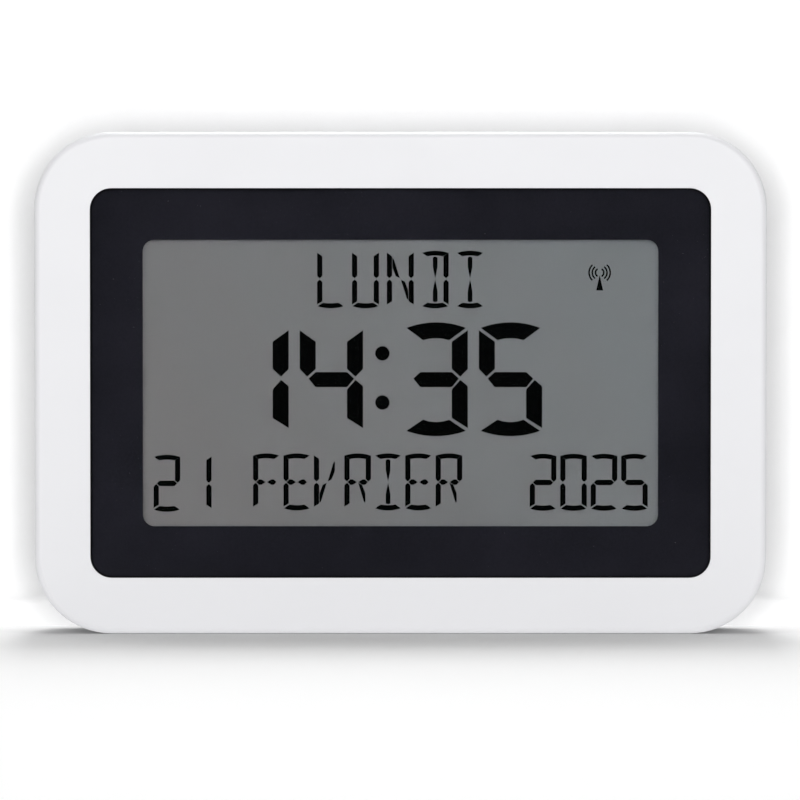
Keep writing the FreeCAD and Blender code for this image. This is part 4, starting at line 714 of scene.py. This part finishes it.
def door_arrow():
    """A raised arrow on the battery door, pointing at its latch."""
    lowest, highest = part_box("battery_door")
    rise, half, length = 17.5 * MM, 2.4 * MM, 3.4 * MM
    sunk, raised = 0.02 * MM, 0.12 * MM
    cx, tip = (lowest.x + highest.x) / 2, lowest.z + rise
    points = [(cx, tip), (cx + half, tip + length), (cx - half, tip + length)]

    def build(work):
        extruded(work, points, highest.y - sunk, highest.y + raised)

    return finished_piece("door_arrow", build, finishes["case_white"], "door")


# Pieces that repeat, grown by geometry nodes


def geometry_sockets(name, inputs):
    tree = bpy.data.node_groups.new(name, "GeometryNodeTree")
    for label, kind in inputs:
        tree.interface.new_socket(label, in_out="INPUT", socket_type=kind)
    tree.interface.new_socket("Geometry", in_out="OUTPUT", socket_type="NodeSocketGeometry")
    return tree, tree.nodes.new("NodeGroupInput").outputs, tree.nodes.new("NodeGroupOutput").inputs


def grown(name, tree, values, body):
    """Runs a geometry tree once and keeps its result as a plain mesh piece."""
    piece = bpy.data.objects.new(name, bpy.data.meshes.new(name))
    bpy.context.scene.collection.objects.link(piece)
    modifier = piece.modifiers.new("shape", "NODES")
    modifier.node_group = tree
    for item in tree.interface.items_tree:
        if item.in_out == "INPUT":
            modifier[item.identifier] = values[item.name]
    graph = bpy.context.evaluated_depsgraph_get()
    mesh = bpy.data.meshes.new_from_object(piece.evaluated_get(graph))
    piece.modifiers.remove(modifier)
    piece.data = mesh
    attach(piece, body)
    return piece


def fleck_tree():
    """Flecks of dust strewn over an upright rectangle."""
    tree, entry, end = geometry_sockets(
        "dust flecks",
        [
            ("Width", "NodeSocketFloat"),
            ("Height", "NodeSocketFloat"),
            ("Middle", "NodeSocketVector"),
            ("Flecks per square metre", "NodeSocketFloat"),
            ("Fleck radius", "NodeSocketFloat"),
            ("Finish", "NodeSocketMaterial"),
        ],
    )
    sheet = place(tree, "GeometryNodeMeshGrid", {"Size X": entry["Width"], "Size Y": entry["Height"]})
    upright = place(
        tree,
        "GeometryNodeTransform",
        {
            "Geometry": sheet.outputs["Mesh"],
            "Rotation": (math.radians(90), 0.0, 0.0),
            "Translation": entry["Middle"],
        },
    )
    strewn = place(
        tree,
        "GeometryNodeDistributePointsOnFaces",
        {"Mesh": upright.outputs[0], "Density": entry["Flecks per square metre"], "Seed": 7},
    )
    fleck = place(tree, "GeometryNodeMeshIcoSphere", {"Radius": entry["Fleck radius"], "Subdivisions": 1})
    size = place(tree, "FunctionNodeRandomValue", {0: (0.25, 0.2, 0.25), 1: (1.0, 0.3, 1.0), "Seed": 3})
    size.data_type = "FLOAT_VECTOR"
    laid = place(
        tree,
        "GeometryNodeInstanceOnPoints",
        {"Points": strewn.outputs["Points"], "Instance": fleck.outputs["Mesh"], "Scale": size.outputs[0]},
    )
    return ended(tree, end, laid.outputs["Instances"], entry["Finish"])


def ended(tree, end, instances, finish):
    whole = place(tree, "GeometryNodeRealizeInstances", {"Geometry": instances})
    coated = place(tree, "GeometryNodeSetMaterial", {"Geometry": whole.outputs[0], "Material": finish})
    tree.links.new(coated.outputs[0], end["Geometry"])
    return tree


def joint_tree():
    """A row of soldered joints, each a low cone round the end of a pin."""
    tree, entry, end = geometry_sockets(
        "soldered row",
        [
            ("Joints", "NodeSocketInt"),
            ("First", "NodeSocketVector"),
            ("Step", "NodeSocketVector"),
            ("Joint radius", "NodeSocketFloat"),
            ("Pin radius", "NodeSocketFloat"),
            ("Finish", "NodeSocketMaterial"),
        ],
    )
    row = place(
        tree,
        "GeometryNodeMeshLine",
        {"Count": entry["Joints"], "Start Location": entry["First"], "Offset": entry["Step"]},
    )
    fillet = place(
        tree,
        "GeometryNodeMeshCone",
        {
            "Vertices": 12,
            "Radius Top": entry["Pin radius"],
            "Radius Bottom": entry["Joint radius"],
            "Depth": entry["Joint radius"],
        },
    )
    pin_length = maths(tree, "MULTIPLY", entry["Joint radius"], 3.0)
    pin = place(
        tree,
        "GeometryNodeMeshCylinder",
        {"Vertices": 8, "Radius": entry["Pin radius"], "Depth": pin_length},
    )
    both = tree.nodes.new("GeometryNodeJoinGeometry")
    for part in (fillet, pin):
        tree.links.new(part.outputs["Mesh"], both.inputs[0])
    quarter_turn = (math.radians(-90), 0.0, 0.0)
    facing_back = place(
        tree, "GeometryNodeTransform", {"Geometry": both.outputs[0], "Rotation": quarter_turn}
    )
    laid = place(
        tree,
        "GeometryNodeInstanceOnPoints",
        {"Points": row.outputs["Mesh"], "Instance": facing_back.outputs[0]},
    )
    return ended(tree, end, laid.outputs["Instances"], entry["Finish"])


def window_dust():
    """A few flecks of dust on the window's face, clear of its edge."""
    lowest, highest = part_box("display_lens")
    margin, off_face = 2 * MM, 0.01 * MM
    values = {
        "Width": highest.x - lowest.x - 2 * margin,
        "Height": highest.z - lowest.z - 2 * margin,
        "Middle": ((lowest.x + highest.x) / 2, lowest.y - off_face, (lowest.z + highest.z) / 2),
        "Flecks per square metre": 2600.0,
        "Fleck radius": 0.11 * MM,
        "Finish": finishes["dust"],
    }
    return grown("window_dust", fleck_tree(), values, "case")


def soldered_joints():
    """Rows of joints on the back of the main board, above its ribbon, and along the key board."""
    tree = joint_tree()
    board_low, board_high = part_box("main_board")
    keys_low, keys_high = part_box("key_board")
    stand_off = 0.3 * MM
    face = board_high.y + stand_off
    key_start = (keys_high.x - 1.4 * MM, keys_high.y + stand_off, keys_low.z + 13.0 * MM)
    rows = {
        "readout_joints": (34, (-82.5 * MM, face, board_low.z + 5.0 * MM), (5.0 * MM, 0.0, 0.0)),
        "ribbon_joints": (7, (-50.0 * MM, face, board_high.z - 2.6 * MM), (2.0 * MM, 0.0, 0.0)),
        "key_joints": (11, key_start, (0.0, 0.0, 5.6 * MM)),
    }
    for name, (count, first, step) in rows.items():
        values = {"Joints": count, "First": first, "Step": step, "Finish": finishes["can_metal"]}
        values.update({"Joint radius": 0.6 * MM, "Pin radius": 0.25 * MM})
        grown(name, tree, values, "case")


window_border()
window_bead()
bare_label()
key_marks()
door_arrow()
window_dust()
soldered_joints()


# The studio


def stage_plane(name, corners, material):
    mesh = bpy.data.meshes.new(name)
    mesh.from_pydata(corners, [], [(0, 1, 2, 3)])
    mesh.materials.append(material)
    plane = bpy.data.objects.new(name, mesh)
    bpy.context.scene.collection.objects.link(plane)
    return plane


def pale_paper(name, shown, contact, backdrop=False):
    """White paper, which the camera sees in the shown colour, darkened by painted shade down to a share of it
    close to the object. Gloss and clear pieces look past it to the surround. The floor glows a little to all
    rays but the camera's, a painted light from beneath which fills the object's lower edge. A backdrop is
    there for the camera only, from the front, and its painted shade fades out at its foot."""
    material = bpy.data.materials.new(name)
    material.use_nodes = True
    tree = material.node_tree
    tree.nodes.clear()
    output = tree.nodes.new("ShaderNodeOutputMaterial")
    path = place(tree, "ShaderNodeLightPath")
    seen = path.outputs["Is Camera Ray"]
    # Painted shade: near the object, ambient occlusion lowers the colour that the camera sees, down to a set
    # share of it
    open_share = place(tree, "ShaderNodeAmbientOcclusion", {"Distance": contact}).outputs["AO"]
    level = spread(tree, open_share, 0.0, 1.0, PAINTED_SHADE_SHARE, 1.0)
    if backdrop:
        rise = place(tree, "ShaderNodeSeparateXYZ", {"Vector": object_place(tree)}).outputs["Z"]
        # On the backdrop the painted shade fades out towards its foot
        painted_shade_lift_at_foot = spread(tree, rise, 0.5 * contact, 1.5 * contact, 1.0, 0.0)
        level = maths(tree, "MAXIMUM", level, painted_shade_lift_at_foot)
    fibre = place(
        tree, "ShaderNodeTexNoise", {"Vector": object_place(tree), "Scale": 60.0, "Detail": 3.0}
    ).outputs["Fac"]
    bright = blended(tree, spread(tree, fibre, 0.3, 0.7, 0.99, 1.0), rgba(0.0, 0.0, 0.0), rgba(*shown))
    shaded = blended(tree, level, rgba(0.0, 0.0, 0.0), bright)
    paper = place(tree, "ShaderNodeBsdfDiffuse", {"Color": blended(tree, seen, rgba(*PAPER_COLOUR), shaded)})
    if backdrop:
        behind = place(tree, "ShaderNodeNewGeometry").outputs["Backfacing"]
        hidden = maths(tree, "MAXIMUM", maths(tree, "SUBTRACT", 1.0, seen), behind)
    else:
        hidden = maths(tree, "MAXIMUM", path.outputs["Is Glossy Ray"], path.outputs["Is Transmission Ray"])
    # Painted light: the floor glows a little for all rays but the camera's, which lights the object from
    # beneath
    beneath = maths(tree, "MULTIPLY", maths(tree, "SUBTRACT", 1.0, seen), UNDERLIGHT)
    glow = place(tree, "ShaderNodeEmission", {"Strength": beneath})
    lit = place(tree, "ShaderNodeAddShader", {0: paper.outputs[0], 1: glow.outputs[0]})
    clear = place(tree, "ShaderNodeBsdfTransparent")
    mixed = place(tree, "ShaderNodeMixShader", {0: hidden, 1: lit.outputs[0], 2: clear.outputs[0]})
    tree.links.new(mixed.outputs[0], output.inputs["Surface"])
    return material


def studio_floor():
    half, low = 3.0, -0.1 * MM
    corners = [(-half, -half, low), (half, -half, low), (half, half, low), (-half, half, low)]
    return stage_plane("floor", corners, pale_paper("floor paper", FLOOR_SHOWN, FLOOR_PAINTED_SHADE_REACH))


def studio_backdrop():
    y, half, low, top = 20.0 * MM, 0.6, -0.1 * MM, 0.32
    corners = [(-half, y, low), (half, y, low), (half, y, top), (-half, y, top)]
    paper = pale_paper("backdrop paper", WALL_SHOWN, WALL_PAINTED_SHADE_REACH, backdrop=True)
    backdrop = stage_plane("backdrop", corners, paper)
    backdrop.visible_shadow = False
    return backdrop


def studio_world():
    """An even pale surround, white to the camera and to gloss. Behind the camera hangs a dark card that keeps
    the window's reflection quiet."""
    world = bpy.data.worlds.new("studio")
    bpy.context.scene.world = world
    world.use_nodes = True
    tree = world.node_tree
    tree.nodes.clear()
    output = tree.nodes.new("ShaderNodeOutputWorld")
    path = place(tree, "ShaderNodeLightPath")
    heading = place(tree, "ShaderNodeTexCoord").outputs["Generated"]
    tilt = math.radians(CAMERA_HEIGHT_DEG)
    card_heading = (0.0, -math.cos(tilt), -math.sin(tilt))
    facing = place(
        tree, "ShaderNodeVectorMath", {0: heading, 1: card_heading}, operation="DOT_PRODUCT"
    ).outputs["Value"]
    inner, outer = (math.cos(math.radians(edge)) for edge in CARD_EDGE_DEG)
    mirrored = maths(tree, "MAXIMUM", path.outputs["Is Glossy Ray"], path.outputs["Is Transmission Ray"])
    card = maths(tree, "MULTIPLY", spread(tree, facing, outer, inner, 0.0, 1.0), mirrored)
    seen = maths(tree, "MAXIMUM", path.outputs["Is Camera Ray"], mirrored)
    undimmed = maths(tree, "LESS_THAN", path.outputs["Diffuse Depth"], 0.5)
    open_level = spread(tree, maths(tree, "MULTIPLY", seen, undimmed), 0.0, 1.0, AMBIENT, 1.0)
    level = maths(tree, "ADD", open_level, maths(tree, "MULTIPLY", card, CARD_LEVEL - 1.0))
    background = place(tree, "ShaderNodeBackground", {"Color": rgba(1.0, 1.0, 1.0), "Strength": level})
    tree.links.new(background.outputs[0], output.inputs["Surface"])
    return world


def soft_lamp(name, place_at, aim, width, height, level):
    """A softbox. level is the share of white that it gives a surface square to it, at its aim."""
    lamp = bpy.data.lights.new(name, "AREA")
    lamp.shape = "RECTANGLE"
    lamp.size, lamp.size_y = width, height
    direction = Vector(aim) - Vector(place_at)
    lamp.energy = level * math.pi**2 * direction.length_squared
    holder = bpy.data.objects.new(name, lamp)
    holder.location = place_at
    holder.rotation_euler = direction.to_track_quat("-Z", "Y").to_euler()
    holder.visible_camera = False
    bpy.context.scene.collection.objects.link(holder)
    return holder


def studio_camera():
    """The photograph's camera: a long lens, square on and a little above."""
    lowest, highest = cad_box
    distance = PHOTO_PIXELS * PIXEL * LENS_MM / SENSOR_MM
    aim = Vector(
        (
            (PHOTO_PIXELS / 2 - CASE_COLUMN) * PIXEL,
            lowest.y,
            (lowest.z + highest.z) / 2 - (PHOTO_PIXELS / 2 - CASE_ROW) * PIXEL,
        )
    )
    tilt = math.radians(CAMERA_HEIGHT_DEG)
    data = bpy.data.cameras.new("camera")
    data.lens = LENS_MM
    data.sensor_width = SENSOR_MM
    data.clip_start, data.clip_end = 0.05, 30.0
    camera = bpy.data.objects.new("camera", data)
    camera.location = aim + Vector((0.0, -math.cos(tilt), math.sin(tilt))) * distance
    camera.rotation_euler = (aim - camera.location).to_track_quat("-Z", "Y").to_euler()
    bpy.context.scene.collection.objects.link(camera)
    bpy.context.scene.camera = camera
    return camera


studio_floor()
studio_backdrop()
studio_world()
middle = (0.0, 0.0, 0.08)
soft_lamp("left softbox", (-0.46, -1.9, 0.34), middle, 0.4, 0.64, 0.187)
soft_lamp("right softbox", (0.46, -1.9, 0.34), middle, 0.4, 0.64, 0.187)
soft_lamp("upper softbox", (0.0, -1.9, 0.55), middle, 0.5, 0.45, 0.15)
soft_lamp("overhead softbox", (0.0, 0.15, 1.4), middle, 0.9, 0.7, 0.36)
soft_lamp("rear softbox", (0.0, 0.85, 1.0), middle, 0.3, 1.3, 0.6)
studio_camera()

bpy.context.scene.view_settings.view_transform = "Standard"
